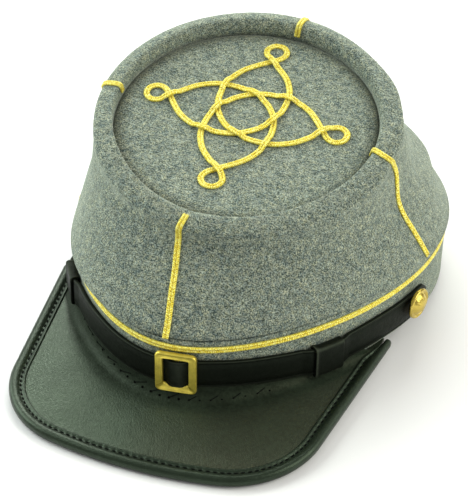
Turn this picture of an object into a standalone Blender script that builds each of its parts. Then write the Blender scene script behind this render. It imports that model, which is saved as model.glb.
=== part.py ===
"""Kepi cap: wool crown and roof, wool band, gold braids, leather peak and chin strap, brass fittings.

Everything is modelled in the cap's own frame, in millimetres: z is 0 at the middle of the gold
braid round the band, the front looks along -Y and the wearer's left side is +X. One empty then
tips the cap to the way it rests on a table. Turns round the cap are measured from the front
centre towards the wearer's left, in degrees.
"""
import bpy
import bmesh
import numpy as np
from math import atan2, cos, degrees, hypot, pi, radians, sin, sqrt, tan
from mathutils import Matrix, Vector

MM = 0.001

# Head opening: an egg-shaped oval, narrower at the front, to the outside of the wool band.
HALF_WIDTH = 83.8
HALF_LENGTH = 100.7
EGG = -0.142
EGG_FRONT = 0.75
DENT_TURN, DENT_SPREAD, DENT_DEPTH = -82.7, 23.8, 5.6

# Wool
WOOL = 2.0
GAP = 0.3
BAND_THICK = 2.2
BAND_TOP = 3.4
SIDE_DROP = 23.0
STATIONS = 60

# Roof disc: its centre, its lean to the front and to one side, and its radius.
ROOF_Y, ROOF_Z = -10.2, 56.0
ROOF_LEAN, ROOF_SIDE = 14.6, 3.15
ROOF_RADIUS = 56.7
ROOF_THICK = 2.0

# Rolled rim and side of the crown, a row for each eighth of the way round: the radius of the
# rim's crest and of its outer shoulder, then how far the waist and the belly of the side stand
# out from a straight line between rim and lip, and how far the lip stands off the band.
CROWN_SECTIONS = (
    # turn, crest, shoulder, waist, belly, lip
    (0, 60.3, 66.4, -2.0, -0.2, -0.1),
    (45, 58.2, 66.4, -2.0, 0.0, -0.1),
    (90, 59.0, 66.8, -3.2, -0.5, -0.1),
    (135, 59.8, 66.0, -2.8, 0.8, -0.1),
    (180, 60.1, 67.1, -2.5, 0.3, -0.1),
    (225, 59.9, 66.5, -2.1, -0.7, 0.0),
    (270, 58.8, 65.7, -2.3, -1.2, 2.6),
    (315, 57.2, 65.1, -1.7, -1.2, 2.1),
)
CREST_HIGH, CREST_FRONT_DIP = 5.15, 1.73
SHOULDER_DROP, UNDER_DROP = 2.6, 9.4
INNER_WALL = 57.3
WAIST_AT, BELLY_AT = 0.33, 0.67
LIP_Z = 4.2
TUCK_Z, HEM_Z = 3.8, -3.0

# Gold braid
BRAID_THICK = 1.1
UPRIGHT_WIDTH = 3.0
BAND_BRAID_WIDTH = 2.7
KNOT_WIDTH = 2.7
UPRIGHT_ROWS = (3, 8, 10, 12, 14)
UPRIGHTS = (
    # name, then the turn on the rim's crest, under the rim, at the waist, belly and band
    ("braid_front", -2.8, -3.4, -3.0, -1.0, -0.2),
    ("braid_left", 86.3, 88.0, 84.4, 85.2, 86.5),
    ("braid_back", 176.0, 176.0, 176.0, 176.0, 176.0),
    ("braid_right", -89.0, -91.0, -94.0, -97.0, -100.0),
)

# Knot on the roof: its middle on the disc, one stroke from an eyelet to the next as the turn
# from the stroke's middle and the radius there, and half of an eyelet's loop.
KNOT_X, KNOT_Y = -1.8, 4.4
KNOT_STROKE = (
    # turn, radius
    (0, 10.8), (22, 11.2), (42, 12.6), (65, 15.2), (82, 18.4),
    (95, 22.0), (105, 24.9), (115, 28.0), (125, 31.0),
)
EYELET_CROSSING = 35.0
EYELET_LOOP = (
    # radius, sideways
    (38.3, 3.5), (42.0, 4.5), (45.2, 2.1),
)
KNOT_STATIONS = 176
KNOT_LIFT = 1.45
LIFT_FLAT, LIFT_RAMP = 2.8, 2.6

# Peak: a plate that falls away to the front and a little more from the band to its edge, and the
# binding folded over that edge.
PEAK_Z, PEAK_SLOPE = -27.5, 0.075
PEAK_CAMBER, CAMBER_TURN, CAMBER_FADE = 2.4, 34.0, 25.0
PEAK_THICK = 1.8
PEAK_END_TURN = 70.0
PEAK_END_X, PEAK_END_Y = 78.0, -34.5
PEAK_SIDE_SLOPE = 0.138
PEAK_REACH = 141.3
PEAK_FRONT_RADIUS = 196.0
PEAK_CORNER_RADIUS = 40.0
PEAK_STATIONS = 56
BEAD_RADIUS = 2.2
PLATE_INSET = 4.2
FLANGE_REACH, FLANGE_LEAST = 7.0, 2.9
FLANGE_THICK = 0.65
# The peak's inner margin, turned up against the band under the strap, and its rounded foot.
MARGIN_THICK, MARGIN_ROOM = 1.0, 1.7
MARGIN_FOOT, MARGIN_FOOT_LEAST = 1.8, 0.4
MARGIN_FROM, MARGIN_FADE = 3.6, 2.5

# Chin strap, keepers and buckle, with the strap's height at some turns round the band.
STRAP_WIDTH, STRAP_THICK = 12.8, 1.8
STRAP_SEAT = 0.35
STRAP_LINE = (
    # turn, height of the strap's middle
    (-100, -11.2), (-50, -11.0), (-32, -10.3), (-20, -11.0), (-5, -11.6), (8, -11.4), (18, -11.4),
    (27, -12.2), (36, -13.0), (46, -14.6), (55, -14.4), (66, -12.9), (78, -12.8), (85, -12.5),
)
STRAP_END_LEFT, STRAP_END_RIGHT = 84.5, -98.0
STRAP_END_TAPER = 6.0
KEEPER_LEFT, KEEPER_RIGHT = 50.5, -54.0
KEEPER_LENGTH, KEEPER_THICK = 13.6, 1.0
BUCKLE_TURN = 4.7
BUCKLE_WIDTH, BUCKLE_HEIGHT = 17.3, 19.6
BUCKLE_BAR, BUCKLE_THICK = 3.3, 1.5
BUCKLE_STAND = 2.25
CENTRE_BAR, CENTRE_BAR_THICK = 2.0, 0.75
STRAP_HUMP = 2.35

# Side buttons
BUTTON_LEFT, BUTTON_RIGHT, BUTTON_Z = 77.7, -91.0, -10.6
BUTTON_RADIUS, BUTTON_RIM, BUTTON_DOME = 6.9, 1.1, 3.4
SHANK_RADIUS, SHANK_LENGTH = 2.0, 1.2

# How the cap rests: on the peak's front edge and the back of the band.
REST_TILT = 2.4
REST_FROM_Y = 75.0
ORIGIN_X, ORIGIN_Y = -0.049, 20.213

PEAK_MID = PEAK_THICK / 2.0
BEAD_LOW_Y = -(PEAK_REACH - BEAD_RADIUS)


def clear_scene():
    for old in list(bpy.data.objects):
        bpy.data.objects.remove(old, do_unlink=True)


def material(name, colour, roughness, metallic=0.0):
    made = bpy.data.materials.new(name)
    made.use_nodes = True
    shader = made.node_tree.nodes["Principled BSDF"]
    shader.inputs["Base Color"].default_value = (*colour, 1.0)
    shader.inputs["Roughness"].default_value = roughness
    shader.inputs["Metallic"].default_value = metallic
    made.diffuse_color = (*colour, 1.0)
    return made


def add_object(name, mesh, look, smooth=True):
    obj = bpy.data.objects.new(name, mesh)
    mesh.materials.append(look)
    if smooth:
        mesh.shade_smooth()
        mesh.set_sharp_from_angle(angle=radians(35.0))
    cap.objects.link(obj)
    obj.parent = rest
    return obj


def loft(name, rings, look, closed=False, wrap=True):
    """A skin over rings of equal count. An open loft of closed rings gets a face on each end."""
    bm = bmesh.new()
    rows = [[bm.verts.new(Vector(point) * MM) for point in ring] for ring in rings]
    count = len(rows[0])
    last = len(rows) if closed else len(rows) - 1
    for row in range(last):
        here, there = rows[row], rows[(row + 1) % len(rows)]
        for col in range(count if wrap else count - 1):
            nxt = (col + 1) % count
            bm.faces.new((here[col], here[nxt], there[nxt], there[col]))
    if wrap and not closed:
        bm.faces.new(list(reversed(rows[0])))
        bm.faces.new(rows[-1])
    if wrap:
        bmesh.ops.recalc_face_normals(bm, faces=bm.faces[:])
    mesh = bpy.data.meshes.new(name)
    bm.to_mesh(mesh)
    bm.free()
    return add_object(name, mesh, look)


# ---- the oval of the head opening --------------------------------------------------------

def oval(turn, out=0.0):
    """Point and outward direction on the band's outside, moved out by a distance."""
    t = radians(turn)

    def place(a):
        front = cos(a)
        width = HALF_WIDTH * (1.0 + EGG * front * (1.0 + EGG_FRONT * front))
        off_dent = (degrees(a) - DENT_TURN + 180.0) % 360.0 - 180.0
        dent = DENT_DEPTH * np.exp(-(off_dent / DENT_SPREAD) ** 2)
        return width * sin(a) + dent, -HALF_LENGTH * front

    step = 0.001
    (x0, y0), (x1, y1) = place(t - step), place(t + step)
    length = hypot(x1 - x0, y1 - y0)
    nx, ny = (y1 - y0) / length, -(x1 - x0) / length
    x, y = place(t)
    return x + out * nx, y + out * ny, nx, ny


def on_band(turn, height, out=0.0):
    x, y, _, _ = oval(turn, out)
    return Vector((x, y, height))


def outward(turn):
    _, _, nx, ny = oval(turn)
    return Vector((nx, ny, 0.0))


def arc_between(turn_a, turn_b, steps=24):
    """Signed length along the band from one turn to another."""
    points = [on_band(turn_a + (turn_b - turn_a) * i / steps, 0.0) for i in range(steps + 1)]
    length = sum((points[i + 1] - points[i]).length for i in range(steps))
    return length if turn_b >= turn_a else -length


def turn_at(turn_from, length):
    """The turn that lies a length along the band from another turn."""
    turn = turn_from
    for _ in range(6):
        turn += (length - arc_between(turn_from, turn)) / 1.35
    return turn


def turns_round(count):
    return [360.0 * i / count for i in range(count)]


def rise(away, flat, ramp):
    """1 within a flat length, falling smoothly to 0 over a ramp."""
    share = min(1.0, max(0.0, (flat + ramp - abs(away)) / ramp))
    return share * share * (3.0 - 2.0 * share)


def table_value(rows, column, turn):
    """Smooth value from a table whose rows go all the way round."""
    count = len(rows)
    place = (turn % 360.0) / (360.0 / count)
    low = int(place)
    mix = place - low
    a, b, c, d = (rows[(low + k) % count][column] for k in (-1, 0, 1, 2))
    return 0.5 * (2 * b + (c - a) * mix + (2 * a - 5 * b + 4 * c - d) * mix ** 2
                  + (3 * b - a - 3 * c + d) * mix ** 3)


# ---- roof and crown ----------------------------------------------------------------------

def roof_frame():
    """Matrix of the roof disc: its own +Z is the disc's upward normal."""
    lean = Matrix.Rotation(radians(ROOF_LEAN), 4, "X")
    side = Matrix.Rotation(radians(ROOF_SIDE), 4, "Y")
    return Matrix.Translation((0.0, ROOF_Y, ROOF_Z)) @ lean @ side


def on_roof(turn, radius, height=0.0):
    t = radians(turn)
    return ROOF @ Vector((radius * sin(t), -radius * cos(t), height))


def crown_section(turn):
    """Points down the outside of the crown at one turn, from the roof's edge to the hem."""
    crest, shoulder, waist, belly, lip_out = (
        table_value(CROWN_SECTIONS, c, turn) for c in range(1, 6))
    crest_h = CREST_HIGH - CREST_FRONT_DIP * cos(radians(turn))
    under = on_roof(turn, shoulder + 1.0, crest_h - UNDER_DROP)
    lip = on_band(turn, LIP_Z, lip_out)
    push = outward(turn)
    knots = [
        on_roof(turn, INNER_WALL - 0.1, -1.0),
        on_roof(turn, INNER_WALL, 0.5 * crest_h),
        on_roof(turn, crest, crest_h),
        on_roof(turn, shoulder, crest_h - SHOULDER_DROP),
        under,
        under.lerp(lip, WAIST_AT) + push * waist,
        under.lerp(lip, BELLY_AT) + push * belly,
        lip,
    ]
    between = (1, 2, 3, 2, 2, 2, 2)
    padded = [knots[0] * 2 - knots[1]] + knots + [knots[-1] * 2 - knots[-2]]
    points = []
    for k, steps in enumerate(between):
        a, b, c, d = padded[k:k + 4]
        for i in range(steps):
            m = i / steps
            points.append(0.5 * (2 * b + (c - a) * m + (2 * a - 5 * b + 4 * c - d) * m ** 2
                                 + (3 * b - a - 3 * c + d) * m ** 3))
    points.append(lip)
    tucked = -(BAND_THICK + GAP)
    points.append(on_band(turn, TUCK_Z, tucked))
    points.append(on_band(turn, HEM_Z, tucked))
    return points


def build_crown():
    sections = [crown_section(turn) for turn in turns_round(STATIONS)]
    rows = [[section[k] for section in sections] for k in range(len(sections[0]))]
    obj = loft("crown", rows, wool, wrap=False)
    # the rows close on themselves round the cap
    bm = bmesh.new()
    bm.from_mesh(obj.data)
    bm.verts.ensure_lookup_table()
    for k in range(len(rows) - 1):
        here, there = k * STATIONS, (k + 1) * STATIONS
        ends = (here + STATIONS - 1, here, there, there + STATIONS - 1)
        bm.faces.new([bm.verts[i] for i in ends])
    bmesh.ops.recalc_face_normals(bm, faces=bm.faces[:])
    bm.to_mesh(obj.data)
    bm.free()
    wall = obj.modifiers.new("wall", "SOLIDIFY")
    wall.thickness = WOOL * MM
    wall.offset = -1.0
    return obj


def build_roof():
    bpy.ops.mesh.primitive_cylinder_add(vertices=STATIONS, radius=ROOF_RADIUS * MM,
                                        depth=ROOF_THICK * MM, end_fill_type="NGON")
    made = bpy.context.object
    mesh = made.data
    bpy.data.objects.remove(made)
    down = Matrix.Translation((0.0, 0.0, -0.5 * ROOF_THICK * MM))
    place = Matrix.Translation(ROOF.translation * MM) @ ROOF.to_3x3().to_4x4()
    mesh.transform(place @ down)
    mesh.name = "roof"
    return add_object("roof", mesh, wool)


# ---- braids ------------------------------------------------------------------------------

def ribbon(name, path, ups, width, thick, look, closed=False):
    """A flat ribbon along a path; each point has its own outward direction."""
    rings = []
    count = len(path)
    for i, (point, up) in enumerate(zip(path, ups)):
        after = path[(i + 1) % count] if closed or i + 1 < count else point
        before = path[i - 1] if closed or i > 0 else point
        side = (after - before).cross(up).normalized() * (0.5 * width)
        top = up * thick
        rings.append([point - side, point + side, point + side + top, point - side + top])
    return loft(name, rings, look, closed=closed)


def build_upright(name, *turns):
    """A braid from the roof's edge, over the rim and down the crown to the band."""
    path = []
    for k in range(1, UPRIGHT_ROWS[-1] + 1):
        turn = float(np.interp(k, UPRIGHT_ROWS, turns))
        section, nearby = crown_section(turn), crown_section(turn + 1.0)
        along = section[min(k + 1, UPRIGHT_ROWS[-1])] - section[k - 1]
        across = nearby[k] - section[k]
        path.append((section[k], along.cross(across).normalized()))
    path[0] = (path[0][0].lerp(path[1][0], 0.15), path[0][1])
    ups = [up for _, up in path]
    points = [point + up * GAP for point, up in path]
    return ribbon(name, points, ups, UPRIGHT_WIDTH, BRAID_THICK, gold)


def build_band_braid():
    turns = turns_round(STATIONS)
    path = [on_band(turn, 0.0, GAP) for turn in turns]
    ups = [outward(turn) for turn in turns]
    return ribbon("braid_band", path, ups, BAND_BRAID_WIDTH, BRAID_THICK, gold, closed=True)


def knot_points():
    """Hand-set points of the whole knot: four strokes and four eyelets in one closed line."""
    points = []
    for lobe in range(4):
        tip = -270.0 * lobe
        t = radians(tip)
        out_dir = Vector((sin(t), -cos(t)))
        side_dir = Vector((cos(t), sin(t)))
        loop = [(r, -s) for r, s in EYELET_LOOP] + [(r, s) for r, s in reversed(EYELET_LOOP)]
        points.append(out_dir * EYELET_CROSSING)
        points += [out_dir * r + side_dir * s for r, s in loop]
        points.append(out_dir * EYELET_CROSSING)
        middle = tip - 135.0
        half = list(KNOT_STROKE)
        stroke = [(-d, r) for d, r in half[:0:-1]] + half
        for off, radius in stroke:
            a = radians(middle - off)
            points.append(Vector((sin(a), -cos(a))) * radius)
    return points


def even_loop(points, count):
    """Evenly spaced points on a smooth closed line through given points."""
    fine = []
    total = len(points)
    for k in range(total):
        a, b, c, d = (points[(k + j) % total] for j in (-1, 0, 1, 2))
        for i in range(12):
            m = i / 12.0
            fine.append(0.5 * (2 * b + (c - a) * m + (2 * a - 5 * b + 4 * c - d) * m ** 2
                               + (3 * b - a - 3 * c + d) * m ** 3))
    fine.append(fine[0])
    lengths = np.cumsum([0.0] + [(fine[i + 1] - fine[i]).length for i in range(len(fine) - 1)])
    wanted = np.linspace(0.0, lengths[-1], count, endpoint=False)
    xs = np.interp(wanted, lengths, [p.x for p in fine])
    ys = np.interp(wanted, lengths, [p.y for p in fine])
    return [Vector((x, y)) for x, y in zip(xs, ys)], lengths[-1]


def crossings(line):
    """Places along a closed line, in steps, where it crosses itself, in order."""
    found = []
    count = len(line)
    for i in range(count):
        a, b = line[i], line[(i + 1) % count]
        for j in range(i + 2, count):
            if (j + 1) % count == i:
                continue
            c, d = line[j], line[(j + 1) % count]
            r, s = b - a, d - c
            area = r.x * s.y - r.y * s.x
            if abs(area) < 1e-9:
                continue
            gap = c - a
            u = (gap.x * s.y - gap.y * s.x) / area
            v = (gap.x * r.y - gap.y * r.x) / area
            if 0.0 <= u < 1.0 and 0.0 <= v < 1.0:
                found += [i + u, j + v]
    return sorted(found)


def build_knot():
    line, length = even_loop(knot_points(), KNOT_STATIONS)
    step = length / KNOT_STATIONS
    over = crossings(line)[::2]
    path = []
    for i, point in enumerate(line):
        lift = 0.0
        for place in over:
            away = abs((i - place + KNOT_STATIONS / 2) % KNOT_STATIONS - KNOT_STATIONS / 2) * step
            ramp = min(1.0, max(0.0, (LIFT_FLAT + LIFT_RAMP - away) / LIFT_RAMP))
            lift = max(lift, KNOT_LIFT * ramp * ramp * (3.0 - 2.0 * ramp))
        path.append(ROOF @ Vector((point.x + KNOT_X, point.y + KNOT_Y, GAP + lift)))
    up = (ROOF.to_3x3() @ Vector((0.0, 0.0, 1.0)))
    return ribbon("roof_knot", path, [up] * KNOT_STATIONS, KNOT_WIDTH, BRAID_THICK, gold,
                  closed=True)


# ---- band --------------------------------------------------------------------------------

def peak_top(y):
    return PEAK_Z + PEAK_SLOPE * (y + HALF_LENGTH)


def camber(turn):
    """How much higher the peak lies beside the band than along its edge."""
    off = (turn + 180.0) % 360.0 - 180.0
    return PEAK_CAMBER * rise(off, CAMBER_TURN, CAMBER_FADE)


def floor_height(y):
    """Height of the table under the tilted cap, in the cap's own frame."""
    bead_low = peak_top(BEAD_LOW_Y) - PEAK_MID - BEAD_RADIUS
    return bead_low + (y - BEAD_LOW_Y) * tan(radians(REST_TILT))


def band_bottom(turn, y):
    """Lower edge of the band: on the peak in front, level at the sides, on the table behind."""
    side_y = 8.0
    if y >= REST_FROM_Y:
        return floor_height(y)
    if y >= side_y:
        share = (y - side_y) / (REST_FROM_Y - side_y)
        return -SIDE_DROP + share * (floor_height(REST_FROM_Y) + SIDE_DROP)
    if y >= PEAK_END_Y:
        share = (y - PEAK_END_Y) / (side_y - PEAK_END_Y)
        start = peak_top(PEAK_END_Y) + GAP
        return start + share * (-SIDE_DROP - start)
    return peak_top(y) + camber(turn) + GAP


def build_band():
    rings = []
    for turn in turns_round(STATIONS):
        outer = on_band(turn, 0.0)
        inner = on_band(turn, 0.0, -BAND_THICK)
        push = outward(turn)
        low_out, low_in = band_bottom(turn, outer.y), band_bottom(turn, inner.y)
        rings.append([
            Vector((outer.x, outer.y, low_out)),
            Vector((outer.x, outer.y, BAND_TOP - 0.7)),
            Vector((outer.x, outer.y, BAND_TOP)) - push * 0.7,
            Vector((inner.x, inner.y, BAND_TOP)),
            Vector((inner.x, inner.y, low_in)),
        ])
    return loft("band", rings, wool, closed=True)


# ---- peak and binding --------------------------------------------------------------------

def peak_outline():
    """Evenly spaced outline of the peak from the wearer's left end to the right end."""
    start = Vector((PEAK_END_X, PEAK_END_Y))
    down = Vector((-PEAK_SIDE_SLOPE, -1.0)).normalized()
    inward = Vector((down.y, -down.x))
    front_centre = Vector((0.0, PEAK_FRONT_RADIUS - PEAK_REACH))
    # the corner arc touches the straight side and the front arc
    reach = PEAK_FRONT_RADIUS - PEAK_CORNER_RADIUS
    base = start + inward * PEAK_CORNER_RADIUS - front_centre
    along = -base.dot(down) + sqrt(base.dot(down) ** 2 - base.length_squared + reach ** 2)
    corner = start + inward * PEAK_CORNER_RADIUS + down * along
    side_end = corner - inward * PEAK_CORNER_RADIUS
    touch = (corner - front_centre).normalized()
    from_angle = atan2(-inward.y, -inward.x)
    to_angle = atan2(touch.y, touch.x)
    fine = [start.lerp(side_end, i / 20.0) for i in range(20)]
    for i in range(24):
        a = from_angle + (to_angle - from_angle) * i / 24.0
        fine.append(corner + Vector((cos(a), sin(a))) * PEAK_CORNER_RADIUS)
    for i in range(13):
        a = to_angle + (-pi / 2.0 - to_angle) * i / 12.0
        fine.append(front_centre + Vector((cos(a), sin(a))) * PEAK_FRONT_RADIUS)
    fine += [Vector((-p.x, p.y)) for p in reversed(fine[:-1])]
    lengths = np.cumsum([0.0] + [(fine[i + 1] - fine[i]).length for i in range(len(fine) - 1)])
    wanted = np.linspace(0.0, lengths[-1], PEAK_STATIONS + 1)
    xs = np.interp(wanted, lengths, [p.x for p in fine])
    ys = np.interp(wanted, lengths, [p.y for p in fine])
    line = [Vector((x, y)) for x, y in zip(xs, ys)]
    inwards = []
    for i in range(len(line)):
        ahead = line[min(i + 1, len(line) - 1)] - line[max(i - 1, 0)]
        inwards.append(Vector((ahead.y, -ahead.x)).normalized())
    return line, inwards


def room_beside_band(edge):
    """Distance from a point of the outline to the band's outside, less the gap."""
    near = min((on_band(turn, 0.0).xy - edge).length for turn in range(-90, 91, 2))
    return near - GAP - 0.1


def flange_reach(edge):
    """How far in from the outline the binding laps over the peak."""
    room = room_beside_band(edge)
    return min(FLANGE_REACH, max(room - MARGIN_ROOM, min(room, FLANGE_LEAST)))


def margin_top(turn):
    """Top of the peak's upright margin: just under the strap, and lower under a keeper."""
    top = strap_height(turn) - 0.5 * STRAP_WIDTH - GAP - 0.1
    for keeper in (KEEPER_LEFT, KEEPER_RIGHT):
        near = rise(arc_between(keeper, turn), KEEPER_LENGTH / 2 + 2.0, 2.0)
        top -= (KEEPER_THICK + GAP) * near
    return top


def build_peak():
    line, inwards = peak_outline()
    rings = []
    count = len(line)
    for i, (edge, inward) in enumerate(zip(line, inwards)):
        turn = PEAK_END_TURN * (1.0 - 2.0 * i / (count - 1))
        outer = edge + inward * PLATE_INSET
        outer_off = (outer - on_band(turn, 0.0).xy).dot(outward(turn).xy)
        room = room_beside_band(edge)
        present = min(1.0, max(0.0, (outer_off - MARGIN_FROM) / MARGIN_FADE))
        foot = room - flange_reach(edge) - MARGIN_THICK - 0.2
        foot = min(MARGIN_FOOT, max(MARGIN_FOOT_LEAST, foot))
        face = GAP + MARGIN_THICK
        bulge = camber(turn)
        plate = peak_top(on_band(turn, 0.0, face).y) + bulge
        high = max(0.0, margin_top(turn) - plate) * present
        bend = min(foot, high)
        # distance off the band, height above the plate
        profile = [
            (GAP, 0.0), (GAP, high), (face, high), (face, bend), (face + 0.3 * foot, 0.3 * bend),
            (face + foot, 0.0),
        ]
        ring = [on_band(turn, bulge, -BAND_THICK - 0.8)]
        for k, (off, up) in enumerate(profile):
            if present == 0.0:
                off = min(off, outer_off - 0.3 * (len(profile) - k))
            ring.append(on_band(turn, bulge + up, off))
        # level where the binding laps over it
        lapped = edge + inward * (flange_reach(edge) + GAP + 0.2)
        lapped_off = (lapped - on_band(turn, 0.0).xy).dot(outward(turn).xy)
        lapped = Vector((lapped.x, lapped.y, 0.0))
        if present == 0.0 or lapped_off < face + foot + 0.1:
            lapped = ring[-1].lerp(Vector((outer.x, outer.y, 0.0)), 0.3)
            lapped.z = 0.0
        ring += [lapped, Vector((outer.x, outer.y, 0.0))]
        under = [Vector((p.x, p.y, p.z - PEAK_THICK)) for p in (ring[-1], lapped, ring[0])]
        rings.append([Vector((p.x, p.y, p.z + peak_top(p.y))) for p in ring + under])
    return loft("peak", rings, leather)


def binding_profile(reach):
    """Cross-section of the binding: in from the outline, up from the plate's middle."""
    slot = PEAK_MID + GAP
    lid = slot + FLANGE_THICK
    back = min(PLATE_INSET - GAP, reach - 0.3)
    return [
        (0.0, 0.0), (0.65, 1.55), (BEAD_RADIUS, BEAD_RADIUS), (back, lid), (reach, lid),
        (reach, slot), (back, slot), (back, -slot), (reach, -slot), (reach, -lid),
        (back, -lid), (BEAD_RADIUS, -BEAD_RADIUS), (0.65, -1.55),
    ]


def build_binding():
    line, inwards = peak_outline()
    rings = []
    for edge, inward in zip(line, inwards):
        ring = []
        for across, up in binding_profile(flange_reach(edge)):
            spot = edge + inward * across
            ring.append(Vector((spot.x, spot.y, peak_top(spot.y) - PEAK_MID + up)))
        rings.append(ring)
    return loft("peak_binding", rings, leather)


# ---- chin strap, keepers and buckle --------------------------------------------------------

def strap_height(turn):
    return float(np.interp(turn, [row[0] for row in STRAP_LINE], [row[1] for row in STRAP_LINE]))


def strap_seat(turn):
    """How far the strap's back stands off the band."""
    seat = STRAP_SEAT
    for keeper in (KEEPER_LEFT, KEEPER_RIGHT):
        away = arc_between(keeper, turn)
        seat = max(seat, STRAP_SEAT + (KEEPER_THICK + GAP) * rise(away, KEEPER_LENGTH / 2 + 0.6, 5.0))
    away = arc_between(BUCKLE_TURN, turn)
    return seat + STRAP_HUMP * rise(away, CENTRE_BAR / 2 + 0.5, 3.2)


def build_strap():
    ends = (STRAP_END_RIGHT, STRAP_END_LEFT)
    turns = list(np.linspace(ends[0], ends[1], 51))
    for away in (-5.2, -4.0, -3.1, -2.2, -1.5, 0.0, 1.5, 2.2, 3.1, 4.0, 5.2):
        turns.append(turn_at(BUCKLE_TURN, away))
    for keeper in (KEEPER_LEFT, KEEPER_RIGHT):
        for away in (-12.4, -10.0, -7.4, 7.4, 10.0, 12.4):
            turns.append(turn_at(keeper, away))
    for left in (0.7, 2.0, 4.0, 6.0):
        turns += [turn_at(ends[0], left), turn_at(ends[1], -left)]
    turns = sorted(turns)
    kept = [turns[0]]
    for turn in turns[1:]:
        if turn - kept[-1] > 0.45:
            kept.append(turn)
    rings = []
    for turn in kept:
        to_end = abs(arc_between(turn, ends[1] if turn > 0.0 else ends[0]))
        share = min(1.0, to_end / STRAP_END_TAPER)
        half_width = 0.5 * STRAP_WIDTH * max(0.25, sqrt(1.0 - (1.0 - share) ** 2))
        seat = strap_seat(turn)
        middle = strap_height(turn)
        rings.append([
            on_band(turn, middle - half_width, seat),
            on_band(turn, middle - half_width, seat + STRAP_THICK),
            on_band(turn, middle + half_width, seat + STRAP_THICK),
            on_band(turn, middle + half_width, seat),
        ])
    return loft("chin_strap", rings, leather)


def build_keeper(name, centre_turn):
    """A leather loop round the strap: a sleeve that follows the band's curve."""
    rings = []
    steps = 4
    for shell in (0, 1):
        for i in range(steps + 1):
            share = i / steps if shell == 0 else 1.0 - i / steps
            turn = turn_at(centre_turn, KEEPER_LENGTH * (share - 0.5))
            seat = strap_seat(turn)
            grow = KEEPER_THICK if shell == 0 else 0.0
            low = seat - GAP - grow
            high = seat + STRAP_THICK + GAP + grow
            reach = 0.5 * STRAP_WIDTH + GAP + grow
            middle = strap_height(turn)
            rings.append([
                on_band(turn, middle - reach, low), on_band(turn, middle - reach, high),
                on_band(turn, middle + reach, high), on_band(turn, middle + reach, low),
            ])
    return loft(name, rings, leather, closed=True)


def build_buckle():
    """A flat frame with chamfered edges, and a bar behind its middle that the strap rides over."""
    centre = on_band(BUCKLE_TURN, strap_height(BUCKLE_TURN), BUCKLE_STAND)
    push = outward(BUCKLE_TURN)
    up = Vector((0.0, 0.0, 1.0))
    across = up.cross(push)
    frame = Matrix((across, up, push)).transposed().to_4x4()
    frame.translation = centre

    def corners(half_w, half_h, radius, height, steps=3):
        ring = []
        for quarter, (sx, sy) in enumerate(((1, 1), (-1, 1), (-1, -1), (1, -1))):
            for i in range(steps + 1):
                a = radians(90.0 * (quarter + i / steps))
                x = sx * (half_w - radius) + radius * cos(a)
                y = sy * (half_h - radius) + radius * sin(a)
                ring.append(frame @ Vector((x, y, height)))
        return ring

    half_w, half_h = BUCKLE_WIDTH / 2, BUCKLE_HEIGHT / 2
    in_w, in_h = half_w - BUCKLE_BAR, half_h - BUCKLE_BAR
    edge = 0.45
    rings = [
        corners(half_w, half_h, 2.0, 0.0),
        corners(half_w, half_h, 2.0, BUCKLE_THICK - edge),
        corners(half_w - edge, half_h - edge, 2.0 - edge, BUCKLE_THICK),
        corners(in_w + edge, in_h + edge, 0.5 + edge, BUCKLE_THICK),
        corners(in_w, in_h, 0.5, BUCKLE_THICK - edge),
        corners(in_w, in_h, 0.5, 0.0),
    ]
    obj = loft("buckle", rings, brass, closed=True)
    bpy.ops.mesh.primitive_cube_add(size=1.0)
    bar = bpy.context.object
    bar.name = "buckle_centre_bar"
    size = (CENTRE_BAR * MM, (BUCKLE_HEIGHT - BUCKLE_BAR) * MM, CENTRE_BAR_THICK * MM)
    bar.data.transform(Matrix.Diagonal((*size, 1.0)))
    sink = 0.15
    bar_place = frame @ Matrix.Translation((0.0, 0.0, sink - CENTRE_BAR_THICK / 2))
    metres = bar_place.copy()
    metres.translation = bar_place.translation * MM
    bar.data.transform(metres)
    bar.parent = rest
    bar.hide_render = True
    bar.display_type = "WIRE"
    for holder in list(bar.users_collection):
        holder.objects.unlink(bar)
    tools.objects.link(bar)
    join = obj.modifiers.new("centre_bar", "BOOLEAN")
    join.operation = "UNION"
    join.solver = "EXACT"
    join.object = bar
    return obj


def build_button(name, turn):
    """A domed button with a raised rim on a short shank, turned round its own axis."""
    profile = [
        (0.0, BUTTON_DOME), (2.6, BUTTON_DOME - 0.35), (4.7, BUTTON_DOME - 1.2),
        (5.9, BUTTON_RIM + 0.35), (6.3, BUTTON_RIM + 0.75), (BUTTON_RADIUS, BUTTON_RIM),
        (BUTTON_RADIUS, 0.3), (BUTTON_RADIUS - 0.5, 0.0), (SHANK_RADIUS, 0.0),
        (SHANK_RADIUS, -SHANK_LENGTH), (0.0, -SHANK_LENGTH),
    ]
    mesh = bpy.data.meshes.new(name)
    mesh.from_pydata([(r * MM, 0.0, z * MM) for r, z in profile],
                     [(i, i + 1) for i in range(len(profile) - 1)], [])
    stand = STRAP_SEAT + STRAP_THICK + GAP + SHANK_LENGTH
    push = outward(turn)
    up = Vector((0.0, 0.0, 1.0))
    obj = add_object(name, mesh, brass, smooth=False)
    obj.rotation_euler = Matrix((up.cross(push), up, push)).transposed().to_euler()
    obj.location = on_band(turn, BUTTON_Z, stand) * MM
    spin = obj.modifiers.new("turned", "SCREW")
    spin.steps = spin.render_steps = 24
    spin.use_merge_vertices = True
    spin.merge_threshold = 0.00005
    return obj


# ---- assembly ------------------------------------------------------------------------------

clear_scene()
cap = bpy.data.collections.new("kepi_cap")
tools = bpy.data.collections.new("cutters")
bpy.context.scene.collection.children.link(cap)
bpy.context.scene.collection.children.link(tools)

wool = material("grey_wool", (0.21, 0.235, 0.23), 0.95)
gold = material("gold_braid", (0.80, 0.62, 0.16), 0.45, 0.6)
leather = material("black_leather", (0.022, 0.028, 0.026), 0.42)
brass = material("brass", (0.78, 0.62, 0.22), 0.3, 1.0)

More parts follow.
